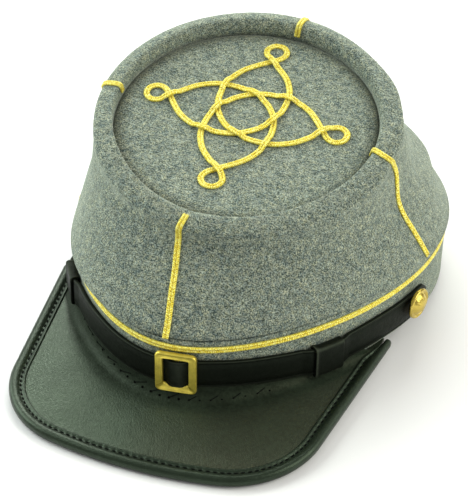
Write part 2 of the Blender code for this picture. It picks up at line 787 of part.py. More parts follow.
rest = bpy.data.objects.new("rest_pose", None)
cap.objects.link(rest)
tilt = Matrix.Rotation(radians(-REST_TILT), 4, "X")
bead_low = Vector((0.0, BEAD_LOW_Y, floor_height(BEAD_LOW_Y)))
lift = -(tilt @ bead_low).z
rest.matrix_world = Matrix.Translation((ORIGIN_X * MM, ORIGIN_Y * MM, lift * MM)) @ tilt

ROOF = roof_frame()

build_crown()
build_roof()
build_band()
build_band_braid()
for upright in UPRIGHTS:
    build_upright(*upright)
build_knot()
build_peak()
build_binding()
build_strap()
build_keeper("keeper_left", KEEPER_LEFT)
build_keeper("keeper_right", KEEPER_RIGHT)
build_buckle()
build_button("button_left", BUTTON_LEFT)
build_button("button_right", BUTTON_RIGHT)
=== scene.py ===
"""A grey wool kepi cap with gold braids, resting on a table."""
import math
import random

import bmesh
import bpy
import numpy as np
from mathutils import Matrix, Vector


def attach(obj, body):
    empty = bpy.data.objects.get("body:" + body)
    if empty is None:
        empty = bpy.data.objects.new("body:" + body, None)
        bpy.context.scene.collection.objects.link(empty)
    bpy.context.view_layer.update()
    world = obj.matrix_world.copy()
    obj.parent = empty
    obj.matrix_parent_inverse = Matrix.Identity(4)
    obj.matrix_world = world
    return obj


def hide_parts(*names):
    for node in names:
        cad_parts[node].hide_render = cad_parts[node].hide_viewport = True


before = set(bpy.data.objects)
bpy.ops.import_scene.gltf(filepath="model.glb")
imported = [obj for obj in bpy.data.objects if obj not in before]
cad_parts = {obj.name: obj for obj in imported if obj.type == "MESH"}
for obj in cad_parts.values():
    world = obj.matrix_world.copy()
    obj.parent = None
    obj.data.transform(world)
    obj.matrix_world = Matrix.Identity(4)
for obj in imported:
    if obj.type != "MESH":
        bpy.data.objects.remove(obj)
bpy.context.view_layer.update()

# ---- the table, the light and the camera ----------------------------------------------------
# The cap lies on a plain white table under soft light from a large window on each side.
# Its own axes stand a little tipped: it rests on the peak's front edge and the band's back.

MM = 0.001
REST_TILT = math.radians(2.4)
REST = (Matrix.Translation((-0.049 * MM, 20.213 * MM, 27.6257 * MM))
        @ Matrix.Rotation(-REST_TILT, 4, "X"))


def new_material(name, base, roughness, metallic=0.0):
    made = bpy.data.materials.new(name)
    made.use_nodes = True
    shader = made.node_tree.nodes["Principled BSDF"]
    shader.inputs["Base Color"].default_value = (*base, 1.0)
    shader.inputs["Roughness"].default_value = roughness
    shader.inputs["Metallic"].default_value = metallic
    return made, made.node_tree, shader


bpy.context.scene.view_settings.view_transform = "Standard"
sky = bpy.data.worlds.new("studio")
sky.use_nodes = True
sky.node_tree.nodes["Background"].inputs["Color"].default_value = (1.0, 1.0, 1.0, 1.0)
sky.node_tree.nodes["Background"].inputs["Strength"].default_value = 0.42
bpy.context.scene.world = sky

TABLE_SIZE, TABLE_DROP = 4.0, 0.0004
table_bm = bmesh.new()
bmesh.ops.create_grid(table_bm, x_segments=1, y_segments=1, size=TABLE_SIZE,
                      matrix=Matrix.Translation((0.0, 0.0, -TABLE_DROP)))
table_mesh = bpy.data.meshes.new("table")
table_bm.to_mesh(table_mesh)
table_bm.free()
table = bpy.data.objects.new("table", table_mesh)
table.data.materials.append(new_material("table_white", (0.93, 0.93, 0.93), 0.9)[0])
bpy.context.scene.collection.objects.link(table)

WINDOWS = (
    # name, place, size, power, colour
    ("window_left", (-1.0, 0.0, 0.7), 0.9, 13.0, (0.93, 1.0, 0.95)),
    ("window_right", (1.0, 0.1, 0.7), 0.9, 10.0, (1.0, 0.99, 0.90)),
    ("window_back", (-0.35, 1.05, 0.8), 0.9, 15.0, (0.98, 1.0, 0.96)),
)
for name, place, size, power, colour in WINDOWS:
    lamp = bpy.data.lights.new(name, "AREA")
    lamp.shape, lamp.size, lamp.energy, lamp.color = "SQUARE", size, power, colour
    holder = bpy.data.objects.new(name, lamp)
    aim = Vector((0.0, 0.0, 0.05)) - Vector(place)
    holder.matrix_world = (Matrix.Translation(place)
                           @ aim.to_track_quat("-Z", "Y").to_matrix().to_4x4())
    bpy.context.scene.collection.objects.link(holder)

VIEW_TURN, VIEW_RISE, VIEW_ROLL = (math.radians(a) for a in (20.11, 33.90, 1.04))
VIEW_ACROSS, VIEW_UPWARD, VIEW_AWAY = -0.00789, -0.01378, 0.71
LENS, SENSOR_WIDTH = 112.74, 36.0
view_back = Vector((math.sin(VIEW_TURN) * math.cos(VIEW_RISE),
                    -math.cos(VIEW_TURN) * math.cos(VIEW_RISE), math.sin(VIEW_RISE)))
level = Vector((0.0, 0.0, 1.0)).cross(view_back).normalized()
upward = view_back.cross(level)
view_right = level * math.cos(VIEW_ROLL) + upward * math.sin(VIEW_ROLL)
view_up = upward * math.cos(VIEW_ROLL) - level * math.sin(VIEW_ROLL)
eye = Matrix((view_right, view_up, view_back)).transposed().to_4x4()
eye.translation = view_right * VIEW_ACROSS + view_up * VIEW_UPWARD + view_back * VIEW_AWAY
camera = bpy.data.objects.new("camera", bpy.data.cameras.new("camera"))
camera.data.lens, camera.data.sensor_width = LENS, SENSOR_WIDTH
camera.matrix_world = REST @ eye
bpy.context.scene.collection.objects.link(camera)
bpy.context.scene.camera = camera

# ---- crown ----------------------------------------------------------------------------------
# The side of the cap, cut from thick felted wool and sewn into a soft cone. Its top is rolled
# over into a rim that stands above the roof, and its lower edge is tucked behind the band.

HALF_WIDTH, HALF_LENGTH = 83.8, 100.7
EGG, EGG_FRONT = -0.142, 0.75
DENT_TURN, DENT_SPREAD, DENT_DEPTH = -82.7, 23.8, 5.6
CROWN_SECTIONS = (
    # turn; radii of the crest and the shoulder; how far the waist, the belly and the lip stand out
    (0, 60.3, 66.4, -2.0, -0.2, -0.1),
    (45, 58.2, 66.4, -2.0, 0.0, 0.2),
    (90, 59.0, 66.8, -3.6, -1.3, 1.0),
    (135, 59.8, 66.0, -3.5, -0.8, 1.6),
    (180, 60.1, 67.1, -2.9, -0.5, 1.2),
    (225, 59.9, 66.5, -2.5, -1.5, 1.2),
    (270, 58.8, 65.7, -2.3, -1.2, 2.0),
    (315, 57.2, 65.1, -1.7, -1.2, 2.5),
)
CREST_HIGH, CREST_FRONT_DIP = 5.15, 1.73
SHOULDER_DROP, UNDER_DROP = 2.6, 9.4
INNER_WALL = 57.2
LIP_HEIGHT, LIP_ROW = 4.2, 7
LIP_TUCK = (
    # height, share of the lip's overhang, and how far in: the edge that is turned in by the band
    (3.92, 0.9, -0.35), (3.82, 0.4, -1.2), (3.78, 0.0, -2.2), (3.3, 0.0, -2.5), (-3.0, 0.0, -2.5),
)
WOOL = 2.0
CROWN_DENTS = (
    # turn, share of the way down, spread in turn, spread down, depth
    (86, 0.50, 7, 0.09, -1.3),
    (104, 0.62, 10, 0.16, 1.2),
    (-70, 0.55, 16, 0.16, -0.6),
    (25, 0.62, 18, 0.12, 0.5),
    (150, 0.60, 15, 0.14, -0.6),
    (-130, 0.58, 14, 0.12, 0.7),
    (122, 0.37, 16, 0.06, 2.4),
    (122, 0.49, 16, 0.05, -0.9),
    (132, 0.845, 15, 0.04, 2.7),
    (129, 0.92, 15, 0.025, -1.2),
)
CROWN_NOTCHES = (
    # turn of a braid that pulls the rim down a little, and how far
    (-2.8, 1.5), (86.3, 0.5), (176.0, 0.3), (-89.0, 0.4),
)
NOTCH_SPREAD, NOTCH_ROW = 4.5, 2.1
ROOF = (Matrix.Translation((0.0, -10.2, 56.0)) @ Matrix.Rotation(math.radians(14.6), 4, "X")
        @ Matrix.Rotation(math.radians(3.15), 4, "Y"))


def turn_between(turn, place):
    """Degrees from a place round the cap to a turn, the short way round."""
    return (turn - place + 180.0) % 360.0 - 180.0


def oval(turn, out=0.0):
    """Point and outward direction on the band's outside, moved out by a distance."""
    def place(a):
        front = math.cos(a)
        width = HALF_WIDTH * (1.0 + EGG * front * (1.0 + EGG_FRONT * front))
        off_dent = turn_between(math.degrees(a), DENT_TURN)
        dent = DENT_DEPTH * math.exp(-(off_dent / DENT_SPREAD) ** 2)
        return width * math.sin(a) + dent, -HALF_LENGTH * front

    t = math.radians(turn)
    (x0, y0), (x1, y1) = place(t - 0.001), place(t + 0.001)
    length = math.hypot(x1 - x0, y1 - y0)
    nx, ny = (y1 - y0) / length, -(x1 - x0) / length
    x, y = place(t)
    return Vector((x + out * nx, y + out * ny, 0.0)), Vector((nx, ny, 0.0))


def on_band(turn, height, out=0.0):
    """A point beside the band, by its turn, its height and how far it is off the wool."""
    return oval(turn, out)[0] + Vector((0.0, 0.0, height))


def on_roof(turn, radius, height=0.0):
    """A point by its turn and radius on the tilted roof, and its height over it."""
    t = math.radians(turn)
    return ROOF @ Vector((radius * math.sin(t), -radius * math.cos(t), height))


def blend_four(a, b, c, d, m):
    """Smooth curve through four values, between the middle two."""
    return 0.5 * (2 * b + (c - a) * m + (2 * a - 5 * b + 4 * c - d) * m ** 2
                  + (3 * b - a - 3 * c + d) * m ** 3)


def crown_value(column, turn):
    """One column of the crown's sections, blended smoothly round the cap."""
    spot = (turn % 360.0) / 45.0
    low = int(spot)
    picks = [CROWN_SECTIONS[(low + k) % 8][column] for k in (-1, 0, 1, 2)]
    return blend_four(*picks, spot - low)


def crown_knots(turn):
    """Eight points down the outside of the crown: roof's edge, wall, crest, shoulder, under
    the rim, waist, belly and lip."""
    crest, shoulder, waist, belly, lip_out = (crown_value(c, turn) for c in range(1, 6))
    crest_h = CREST_HIGH - CREST_FRONT_DIP * math.cos(math.radians(turn))
    under = on_roof(turn, shoulder + 1.0, crest_h - UNDER_DROP)
    lip = on_band(turn, LIP_HEIGHT, lip_out)
    push = oval(turn)[1]
    return [
        on_roof(turn, INNER_WALL, -1.0), on_roof(turn, INNER_WALL + 0.1, 0.5 * crest_h),
        on_roof(turn, crest, crest_h), on_roof(turn, shoulder, crest_h - SHOULDER_DROP), under,
        under.lerp(lip, 0.33) + push * waist, under.lerp(lip, 0.67) + push * belly, lip,
    ]


def crown_spot(turn, row):
    """A point on the crown's outside: row runs from 0 at the roof's edge to 7 at the lip."""
    knots = crown_knots(turn)
    padded = [knots[0] * 2 - knots[1]] + knots + [knots[-1] * 2 - knots[-2]]
    k = min(int(row), LIP_ROW - 1)
    spot = blend_four(*padded[k:k + 4], row - k)
    share = row / LIP_ROW
    push = 0.0
    for at_turn, at_share, wide, tall, depth in CROWN_DENTS:
        off = turn_between(turn, at_turn)
        push += depth * math.exp(-(off / wide) ** 2 - ((share - at_share) / tall) ** 2)
    pull = 0.0
    for at_turn, depth in CROWN_NOTCHES:
        off = turn_between(turn, at_turn)
        pull += depth * math.exp(-(off / NOTCH_SPREAD) ** 2 - (row - NOTCH_ROW) ** 2)
    return spot + oval(turn)[1] * push - ROOF.col[2].xyz * pull


def shaped_grid(across, around, place, uv_size=(1.0, 1.0)):
    """A grid whose points are placed one by one, with the edges that meet welded."""
    bm = bmesh.new()
    bm.loops.layers.uv.new("UVMap")
    bmesh.ops.create_grid(bm, x_segments=across, y_segments=around, size=1.0, calc_uvs=True)
    uv = bm.loops.layers.uv.active
    for face in bm.faces:
        for loop in face.loops:
            loop[uv].uv = (loop[uv].uv.x * uv_size[0], loop[uv].uv.y * uv_size[1])
    for v in bm.verts:
        i = round((v.co.x + 1.0) / 2.0 * across)
        j = round((v.co.y + 1.0) / 2.0 * around)
        v.co = REST @ (place(i, j) * MM)
    bmesh.ops.remove_doubles(bm, verts=bm.verts[:], dist=1e-6)
    return bm


def finish_piece(name, bm, look, stands_for=()):
    """Make one object of the cap from its mesh, with its look and the solid it stands for."""
    bmesh.ops.recalc_face_normals(bm, faces=bm.faces[:])
    mesh = bpy.data.meshes.new(name)
    bm.to_mesh(mesh)
    bm.free()
    mesh.shade_smooth()
    mesh.materials.append(look)
    obj = bpy.data.objects.new(name, mesh)
    bpy.context.scene.collection.objects.link(obj)
    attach(obj, "root")
    if stands_for:
        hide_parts(*stands_for)
    return obj


def feed(tree, value, socket):
    """Give a socket a number, a colour or another node's output."""
    if isinstance(value, (int, float)):
        socket.default_value = value
    elif isinstance(value, tuple):
        socket.default_value = (*value, 1.0)
    else:
        tree.links.new(value, socket)


def coordinates(tree, kind):
    """Places on the piece, by its own axes (Object) or its UV map (UV)."""
    return tree.nodes.new("ShaderNodeTexCoord").outputs[kind]


def coordinate_parts(tree, kind):
    node = tree.nodes.new("ShaderNodeSeparateXYZ")
    tree.links.new(coordinates(tree, kind), node.inputs[0])
    return node.outputs


def math_node(tree, kind, *values):
    node = tree.nodes.new("ShaderNodeMath")
    node.operation = kind
    for value, socket in zip(values, node.inputs):
        feed(tree, value, socket)
    return node.outputs[0]


def noise_node(tree, vector, scale, detail=3.0, rough=0.6, distortion=0.0):
    node = tree.nodes.new("ShaderNodeTexNoise")
    node.inputs["Scale"].default_value = scale
    node.inputs["Detail"].default_value = detail
    node.inputs["Roughness"].default_value = rough
    node.inputs["Distortion"].default_value = distortion
    tree.links.new(vector, node.inputs["Vector"])
    return node.outputs["Fac"]


def ramp_node(tree, fac, stops):
    node = tree.nodes.new("ShaderNodeValToRGB")
    ramp = node.color_ramp
    while len(ramp.elements) < len(stops):
        ramp.elements.new(0.5)
    for element, (place, colour) in zip(ramp.elements, stops):
        element.position = place
        element.color = (*colour, 1.0)
    tree.links.new(fac, node.inputs["Fac"])
    return node.outputs["Color"]


def mix_node(tree, fac, a, b, blend="MIX"):
    node = tree.nodes.new("ShaderNodeMix")
    node.data_type = "RGBA"
    node.blend_type = blend
    for value, place in ((fac, 0), (a, 6), (b, 7)):
        feed(tree, value, node.inputs[place])
    return node.outputs[2]


def bump_node(tree, height, strength, distance, normal=None):
    node = tree.nodes.new("ShaderNodeBump")
    node.inputs["Strength"].default_value = strength
    node.inputs["Distance"].default_value = distance
    tree.links.new(height, node.inputs["Height"])
    if normal is not None:
        tree.links.new(normal, node.inputs["Normal"])
    return node.outputs["Normal"]


def wool_material(name, base, flecks):
    """Felted wool: dark blue and pale flecks, matted clouds, short light fibres, soft nap."""
    made, tree, shader = new_material(name, base, 0.95)
    where = coordinates(tree, "Object")
    grain = noise_node(tree, where, 1900.0, detail=1.0, rough=0.4, distortion=0.1)
    dark, mid, pale = flecks
    colour = ramp_node(tree, grain, (
        (0.33, dark), (0.44, tuple(0.6 * a + 0.4 * b for a, b in zip(mid, dark))), (0.51, mid),
        (0.59, tuple(0.5 * a + 0.5 * b for a, b in zip(mid, pale))), (0.70, pale)))
    hue = noise_node(tree, where, 900.0, detail=2.0, rough=0.5)
    tint = ramp_node(tree, hue, (
        (0.38, (0.88, 0.97, 1.06)), (0.5, (1.0, 1.0, 1.0)), (0.62, (1.07, 1.02, 0.90))))
    colour = mix_node(tree, 1.0, colour, tint, "MULTIPLY")
    matted = noise_node(tree, where, 330.0)
    cloud = ramp_node(tree, matted, (
        (0.33, (0.60, 0.65, 0.70)), (0.66, (1.36, 1.30, 1.20))))
    colour = mix_node(tree, 1.0, colour, cloud, "MULTIPLY")
    for lean in ((0.5, 0.3, 0.2), (1.9, 0.6, 1.1), (0.2, 1.3, 2.3)):
        turned = tree.nodes.new("ShaderNodeMapping")
        turned.inputs["Rotation"].default_value = lean
        turned.inputs["Scale"].default_value = (260.0, 2300.0, 2300.0)
        tree.links.new(where, turned.inputs["Vector"])
        fibre = noise_node(tree, turned.outputs["Vector"], 1.0, detail=1.0, rough=0.5,
                           distortion=0.8)
        light = ramp_node(tree, fibre, ((0.60, (0.0, 0.0, 0.0)), (0.70, (0.5, 0.5, 0.5))))
        colour = mix_node(tree, light, colour, tuple(1.05 * c for c in pale))
    tree.links.new(colour, shader.inputs["Base Color"])
    nap = noise_node(tree, where, 900.0, distortion=0.3)
    soft = noise_node(tree, where, 130.0, detail=2.0, rough=0.5)
    normal = bump_node(tree, soft, 0.3, 0.0012)
    normal = bump_node(tree, nap, 0.8, 0.0005, normal)
    tree.links.new(normal, shader.inputs["Normal"])
    shader.inputs["Specular IOR Level"].default_value = 0.1
    shader.inputs["Sheen Weight"].default_value = 0.4
    shader.inputs["Sheen Roughness"].default_value = 0.4
    shader.inputs["Sheen Tint"].default_value = (0.85, 0.95, 0.80, 1.0)
    return made


wool = wool_material("grey_wool", (0.18, 0.21, 0.17), (
    (0.038, 0.054, 0.051), (0.155, 0.190, 0.155), (0.40, 0.44, 0.36)))
STATIONS = 240
ROW_STEPS = [0.0, 0.5, 0.8] + [1.0 + 0.2 * k for k in range(31)]
crown_rings = []
for i in range(STATIONS):
    turn = 360.0 * i / STATIONS
    ring = [crown_spot(turn, row) for row in ROW_STEPS]
    lip_out = crown_value(5, turn)
    ring += [on_band(turn, height, share * lip_out + inward) for height, share, inward in LIP_TUCK]
    crown_rings.append(ring)
crown_bm = shaped_grid(STATIONS, len(crown_rings[0]) - 1,
                       lambda i, j: crown_rings[i % STATIONS][j])
crown = finish_piece("crown_wool", crown_bm, wool, ("crown",))
wall = crown.modifiers.new("wall", "SOLIDIFY")
wall.thickness, wall.offset = WOOL * MM, -1.0

# ---- roof -----------------------------------------------------------------------------------
# The round top, one disc of the same wool sewn in below the rolled rim. It sags very slightly,
# dips into the seam at its edge, and has painted shade there, where the rim shades it.

ROOF_RINGS = 40
ROOF_RADIUS, ROOF_SAG = 57.1, 0.35
EDGE_DIP, EDGE_FROM = 0.9, 0.96


def roof_spot(i, j):
    """A point on the disc: out over its top to the edge, and back in underneath."""
    turn = 360.0 * i / STATIONS
    under = j > ROOF_RINGS
    share = (j if not under else 2 * ROOF_RINGS + 1 - j) / ROOF_RINGS
    to_edge = max(0.0, (share - EDGE_FROM) / (1.0 - EDGE_FROM))
    height = -ROOF_SAG * (1.0 - share ** 2) - EDGE_DIP * to_edge ** 1.5
    return on_roof(turn, ROOF_RADIUS * share, height - (WOOL if under else 0.0))


roof_bm = shaped_grid(STATIONS, 2 * ROOF_RINGS + 1, roof_spot)
bmesh.ops.dissolve_degenerate(roof_bm, dist=1e-7, edges=roof_bm.edges[:])


def multiply_input(made, socket, factor):
    """Multiply what already feeds one of a material's inputs by a factor."""
    tree = made.node_tree
    fed = tree.nodes["Principled BSDF"].inputs[socket]
    tree.links.new(mix_node(tree, 1.0, fed.links[0].from_socket, factor, "MULTIPLY"), fed)


def add_painted_edge_shade(made):
    """Painted shade of the seam under the rim: darker, warmer wool toward the disc's edge, which
    lies half way along its UV map.
    """
    tree = made.node_tree
    outward = coordinate_parts(tree, "UV")[1]
    multiply_input(made, "Base Color", ramp_node(tree, outward, (
        (0.440, (1.0, 1.0, 1.0)), (0.488, (0.56, 0.53, 0.48)))))


roof_wool = wool.copy()
roof_wool.name = "roof_wool"
# painted shade: the roof's copy of the wool is darkened along its edge under the rim
add_painted_edge_shade(roof_wool)
finish_piece("roof_wool", roof_bm, roof_wool, ("roof",))

# ---- band -----------------------------------------------------------------------------------
# A straight strip of the wool round the head opening. Its top edge covers the crown's tucked
# edge, and its lower edge lies on the peak in front and on the table behind.

BAND_THICK = 2.2
BAND_TOP = (
    # height and how far in, over the band's rounded top edge and down its inside
    (2.7, 0.0), (3.15, -0.2), (3.4, -0.7), (3.4, -1.4), (3.1, -2.0), (2.5, -BAND_THICK),
    (-10.0, -BAND_THICK),
)
BAND_SIDE_Y, BAND_SIDE_Z = 8.0, -23.0
BAND_REST_Y = 75.0
BAND_OFF_PEAK = 0.3
BAND_EDGE, BAND_STRAIGHT_TO, BAND_ROWS = 0.4, 2.6, 12
# the band lies on the peak in front, so the peak's level and reach are set here
PEAK_Z, PEAK_SLOPE, PEAK_CAMBER = -27.5, 0.075, 2.4
PEAK_END_Y, PEAK_REACH = -34.5, 141.3
BEAD_RADIUS, PEAK_MID = 2.2, 0.9
BEAD_LOW_Y = -(PEAK_REACH - BEAD_RADIUS)


def peak_top(y):
    """Height of the plate's upper face at its edge: it falls away evenly to the front."""
    return PEAK_Z + PEAK_SLOPE * (y + HALF_LENGTH)


def floor_height(y):
    """Height of the table in the cap's own axes."""
    return (peak_top(BEAD_LOW_Y) - PEAK_MID - BEAD_RADIUS
            + (y - BEAD_LOW_Y) * math.tan(REST_TILT))


def rise(away, flat, ramp):
    """1 within a flat length, falling smoothly to 0 over a ramp."""
    share = min(1.0, max(0.0, (flat + ramp - abs(away)) / ramp))
    return share * share * (3.0 - 2.0 * share)


def camber(turn):
    """How much higher the peak lies beside the band than along its edge."""
    return PEAK_CAMBER * rise(turn_between(turn, 0.0), 34.0, 25.0)


def band_bottom(turn, y):
    """The band's lower edge: on the table behind, on the peak in front, and free between."""
    if y >= BAND_REST_Y:
        return floor_height(y)
    if y >= BAND_SIDE_Y:
        share = (y - BAND_SIDE_Y) / (BAND_REST_Y - BAND_SIDE_Y)
        return BAND_SIDE_Z + share * (floor_height(BAND_REST_Y) - BAND_SIDE_Z)
    if y >= PEAK_END_Y:
        start = peak_top(PEAK_END_Y) + BAND_OFF_PEAK
        return start + (y - PEAK_END_Y) / (BAND_SIDE_Y - PEAK_END_Y) * (BAND_SIDE_Z - start)
    return peak_top(y) + camber(turn) + BAND_OFF_PEAK


band_rings = []
for i in range(STATIONS):
    turn = 360.0 * i / STATIONS
    low_out, low_in = (band_bottom(turn, on_band(turn, 0.0, off).y)
                       for off in (0.0, -BAND_THICK))
    straight_from = low_out + BAND_EDGE
    ring = [on_band(turn, low_in, -BAND_THICK + 0.3), on_band(turn, low_out, -BAND_EDGE)]
    for k in range(BAND_ROWS):
        height = straight_from + (BAND_STRAIGHT_TO - straight_from) * k / BAND_ROWS
        ring.append(on_band(turn, height))
    ring += [on_band(turn, height, inward) for height, inward in BAND_TOP]
    ring += [on_band(turn, low_in + 0.3, -BAND_THICK), ring[0]]
    band_rings.append(ring)
band_bm = shaped_grid(STATIONS, len(band_rings[0]) - 1, lambda i, j: band_rings[i % STATIONS][j])
finish_piece("band_wool", band_bm, wool, ("band",))

# ---- gold braids ----------------------------------------------------------------------------
# Flat soutache braid of gilt thread over two cords, so it has two ridges with a groove between.
# One braid runs round the band, one down each quarter of the crown, and one makes the knot.

UPRIGHTS = (
    # name, first and last row, then the turn on the crest and the shoulder, under the rim, at the
    # waist, the belly and the band
    ("braid_front", 2.1, 7.0, -3.2, -4.0, -4.2, -3.5, -1.0, 0.4),
    ("braid_left", 0.75, 6.9, 87.0, 84.2, 89.6, 84.6, 85.4, 87.0),
    ("braid_back", 0.75, 7.0, 176.0, 176.0, 176.0, 176.0, 176.0, 176.0),
    ("braid_right", 0.75, 7.0, -89.0, -90.0, -91.0, -94.0, -97.0, -100.0),
)
UPRIGHT_ROWS = (2, 3, 4, 5, 6, 7)
UPRIGHT_SIZE, BAND_BRAID_SIZE, KNOT_SIZE = (2.75, 1.15), (2.7, 1.45), (2.75, 1.25)
UPRIGHT_SUNK, UPRIGHT_PAST_LIP = 0.15, 0.9
BAND_BRAID_STATIONS = 480
BAND_BRAID_SUNK = (
    # where the braid lies deeper in the wool: turn, half width of the full depth, ramp, depth
    (300.0, 20.0, 38.0, 0.75),
    (135.0, 50.0, 45.0, 0.85),
)
KNOT_X, KNOT_Y = -1.8, 4.4
KNOT_STROKE = (
    # turn from the middle of the stroke, radius
    (0, 10.8), (22, 11.2), (42, 12.6), (65, 15.2), (82, 18.4),
    (95, 22.0), (105, 24.9), (115, 28.0), (125, 31.0),
)
EYELET_CROSSING = 35.0
EYELET_LOOP = (
    # radius, half width
    (38.3, 3.5), (42.0, 4.5), (45.2, 2.1),
)
KNOT_ROUND = 270.0
KNOT_STATIONS = 640
KNOT_LIFT, KNOT_LIFT_FLAT, KNOT_LIFT_RAMP, KNOT_SUNK = 1.15, 1.8, 3.6, 0.25


def braid_material():
    """Gilt thread plaited over two cords: bright flecks, brown gaps, and painted shade in the
    middle groove.
    """
    made, tree, shader = new_material("gold_braid", (0.72, 0.56, 0.09), 0.38, 0.25)
    along, around, _ = coordinate_parts(tree, "UV")
    side = math_node(tree, "ABSOLUTE", math_node(tree, "SUBTRACT", around, 0.5))
    where = coordinates(tree, "Object")
    uneven = noise_node(tree, where, 700.0, detail=2.0, rough=0.5)
    slant = math_node(tree, "ADD", math_node(tree, "MULTIPLY", side, 3.4),
                      math_node(tree, "MULTIPLY", uneven, 2.2))
    twist = math_node(tree, "ADD", math_node(tree, "MULTIPLY", along, 1.35), slant)
    ply = math_node(tree, "FRACT", twist)
    ridge = math_node(tree, "SINE", math_node(tree, "MULTIPLY", ply, math.pi))
    glint = noise_node(tree, where, 1250.0, detail=1.0, rough=0.5)
    tone = math_node(tree, "ADD", math_node(tree, "MULTIPLY", ridge, 0.42),
                     math_node(tree, "MULTIPLY", glint, 0.85))
    base = ramp_node(tree, tone, (
        (0.40, (0.40, 0.24, 0.005)), (0.58, (0.82, 0.63, 0.020)), (0.75, (1.0, 0.86, 0.07)),
        (0.88, (1.0, 0.98, 0.34))))
    # painted shade: the groove between the two cords is darkened
    groove = ramp_node(tree, side, (
        (0.0, (0.50, 0.34, 0.16)), (0.06, (1.0, 1.0, 1.0)), (1.0, (1.0, 1.0, 1.0))))
    base = mix_node(tree, 1.0, base, groove, "MULTIPLY")
    tree.links.new(base, shader.inputs["Base Color"])
    tree.links.new(bump_node(tree, ridge, 0.7, 0.00025), shader.inputs["Normal"])
    return made


gold = braid_material()


def braid_profile(width, thick):
    """Outline of a braid across its length: two cords, and a groove between them."""
    lobe = [(0.25 * width * (1.0 + math.cos(a)), 0.5 * thick * (1.0 + math.sin(a)))
            for a in (math.radians(d) for d in (-90, -45, -10, 25, 60, 90, 120, 150))]
    groove = [(0.0, 0.66 * thick)]
    return [(0.0, 0.0)] + lobe + groove + [(-x, y) for x, y in reversed(lobe)]


def sweep(path, ups, profile, closed=False):
    """A braid with a given outline along a path; open ends are drawn together."""
    count = len(path)
    lengths = [0.0]
    for i in range(1, count + 1):
        lengths.append(lengths[-1] + (path[i % count] - path[i - 1]).length)
    sides = []
    for i in range(count):
        after = path[(i + 1) % count] if closed or i + 1 < count else path[i]
        before = path[i - 1] if closed or i > 0 else path[i]
        sides.append((after - before).cross(ups[i]).normalized())
    around = len(profile)
    across = count if closed else count + 1
    middle = sum(y for _, y in profile) / around

    def place(i, j):
        x, y = profile[j % around]
        if closed:
            k, full = i % count, 1.0
        else:
            k = min(max(i - 1, 0), count - 1)
            full = 0.0 if i in (0, count + 1) else 1.0
        return path[k] + sides[k] * (x * full) + ups[k] * (middle + (y - middle) * full)

    length = lengths[count] if closed else lengths[count - 1]
    return shaped_grid(across, around, place, (length, 1.0))


def add_upright(name, first_row, last_row, *turns):
    """One braid down the crown; its cut end lies a little past the crown's lip."""
    path, ups = [], []
    for row in np.arange(first_row, last_row + 0.01, 0.1):
        turn = sum(float(np.interp(row + off, UPRIGHT_ROWS, turns))
                   for off in (-0.6, -0.3, 0.0, 0.3, 0.6)) / 5.0
        spot = crown_spot(turn, row)
        along = crown_spot(turn, min(row + 0.12, LIP_ROW)) - crown_spot(turn, row - 0.12)
        across = crown_spot(turn + 1.0, row) - spot
        ups.append(along.cross(across).normalized())
        path.append(spot - ups[-1] * UPRIGHT_SUNK)
    path.append(path[-1] + (path[-1] - path[-3]).normalized() * UPRIGHT_PAST_LIP)
    ups.append(ups[-1])
    finish_piece(name + "_thread", sweep(path, ups, braid_profile(*UPRIGHT_SIZE)), gold,
                 (name,))


for upright in UPRIGHTS:
    add_upright(*upright)

band_path, band_ups = [], []
for i in range(BAND_BRAID_STATIONS):
    turn = 360.0 * i / BAND_BRAID_STATIONS
    sunk = 0.1 + sum(depth * rise(turn_between(turn, middle), flat, ramp)
                     for middle, flat, ramp, depth in BAND_BRAID_SUNK)
    band_path.append(on_band(turn, 0.0, -sunk))
    band_ups.append(oval(turn)[1])
finish_piece("braid_band_thread",
             sweep(band_path, band_ups, braid_profile(*BAND_BRAID_SIZE), closed=True), gold,
             ("braid_band",))


def knot_points():
    """Points of the whole knot in one closed line: four eyelets, and between two of them a
    stroke that passes round the knot's middle."""
    points = []
    for lobe in range(4):
        tip = -KNOT_ROUND * lobe
        t = math.radians(tip)
        out_dir, side_dir = Vector((math.sin(t), -math.cos(t))), Vector((math.cos(t), math.sin(t)))
        loop = [(r, -s) for r, s in EYELET_LOOP] + [(r, s) for r, s in reversed(EYELET_LOOP)]
        points.append(out_dir * EYELET_CROSSING)
        points += [out_dir * r + side_dir * s for r, s in loop]
        points.append(out_dir * EYELET_CROSSING)
        for off, radius in [(-d, r) for d, r in KNOT_STROKE[:0:-1]] + list(KNOT_STROKE):
            a = math.radians(tip - 0.5 * KNOT_ROUND - off)
            points.append(Vector((math.sin(a), -math.cos(a))) * radius)
    return points


def spread_evenly(fine, count, endpoint):
    """Evenly spaced points along a line, and the line's length."""
    lengths = np.cumsum([0.0] + [(b - a).length for a, b in zip(fine, fine[1:])])
    wanted = np.linspace(0.0, lengths[-1], count, endpoint=endpoint)
    xs = np.interp(wanted, lengths, [p.x for p in fine])
    ys = np.interp(wanted, lengths, [p.y for p in fine])
    return [Vector((x, y)) for x, y in zip(xs, ys)], lengths[-1]


def even_loop(points, count):
    """A smooth closed line through the points, in even steps, and its length."""
    fine = []
    total, steps = len(points), 12
    for k in range(total):
        four = [points[(k + j) % total] for j in (-1, 0, 1, 2)]
        fine += [blend_four(*four, i / steps) for i in range(steps)]
    return spread_evenly(fine + fine[:1], count, endpoint=False)


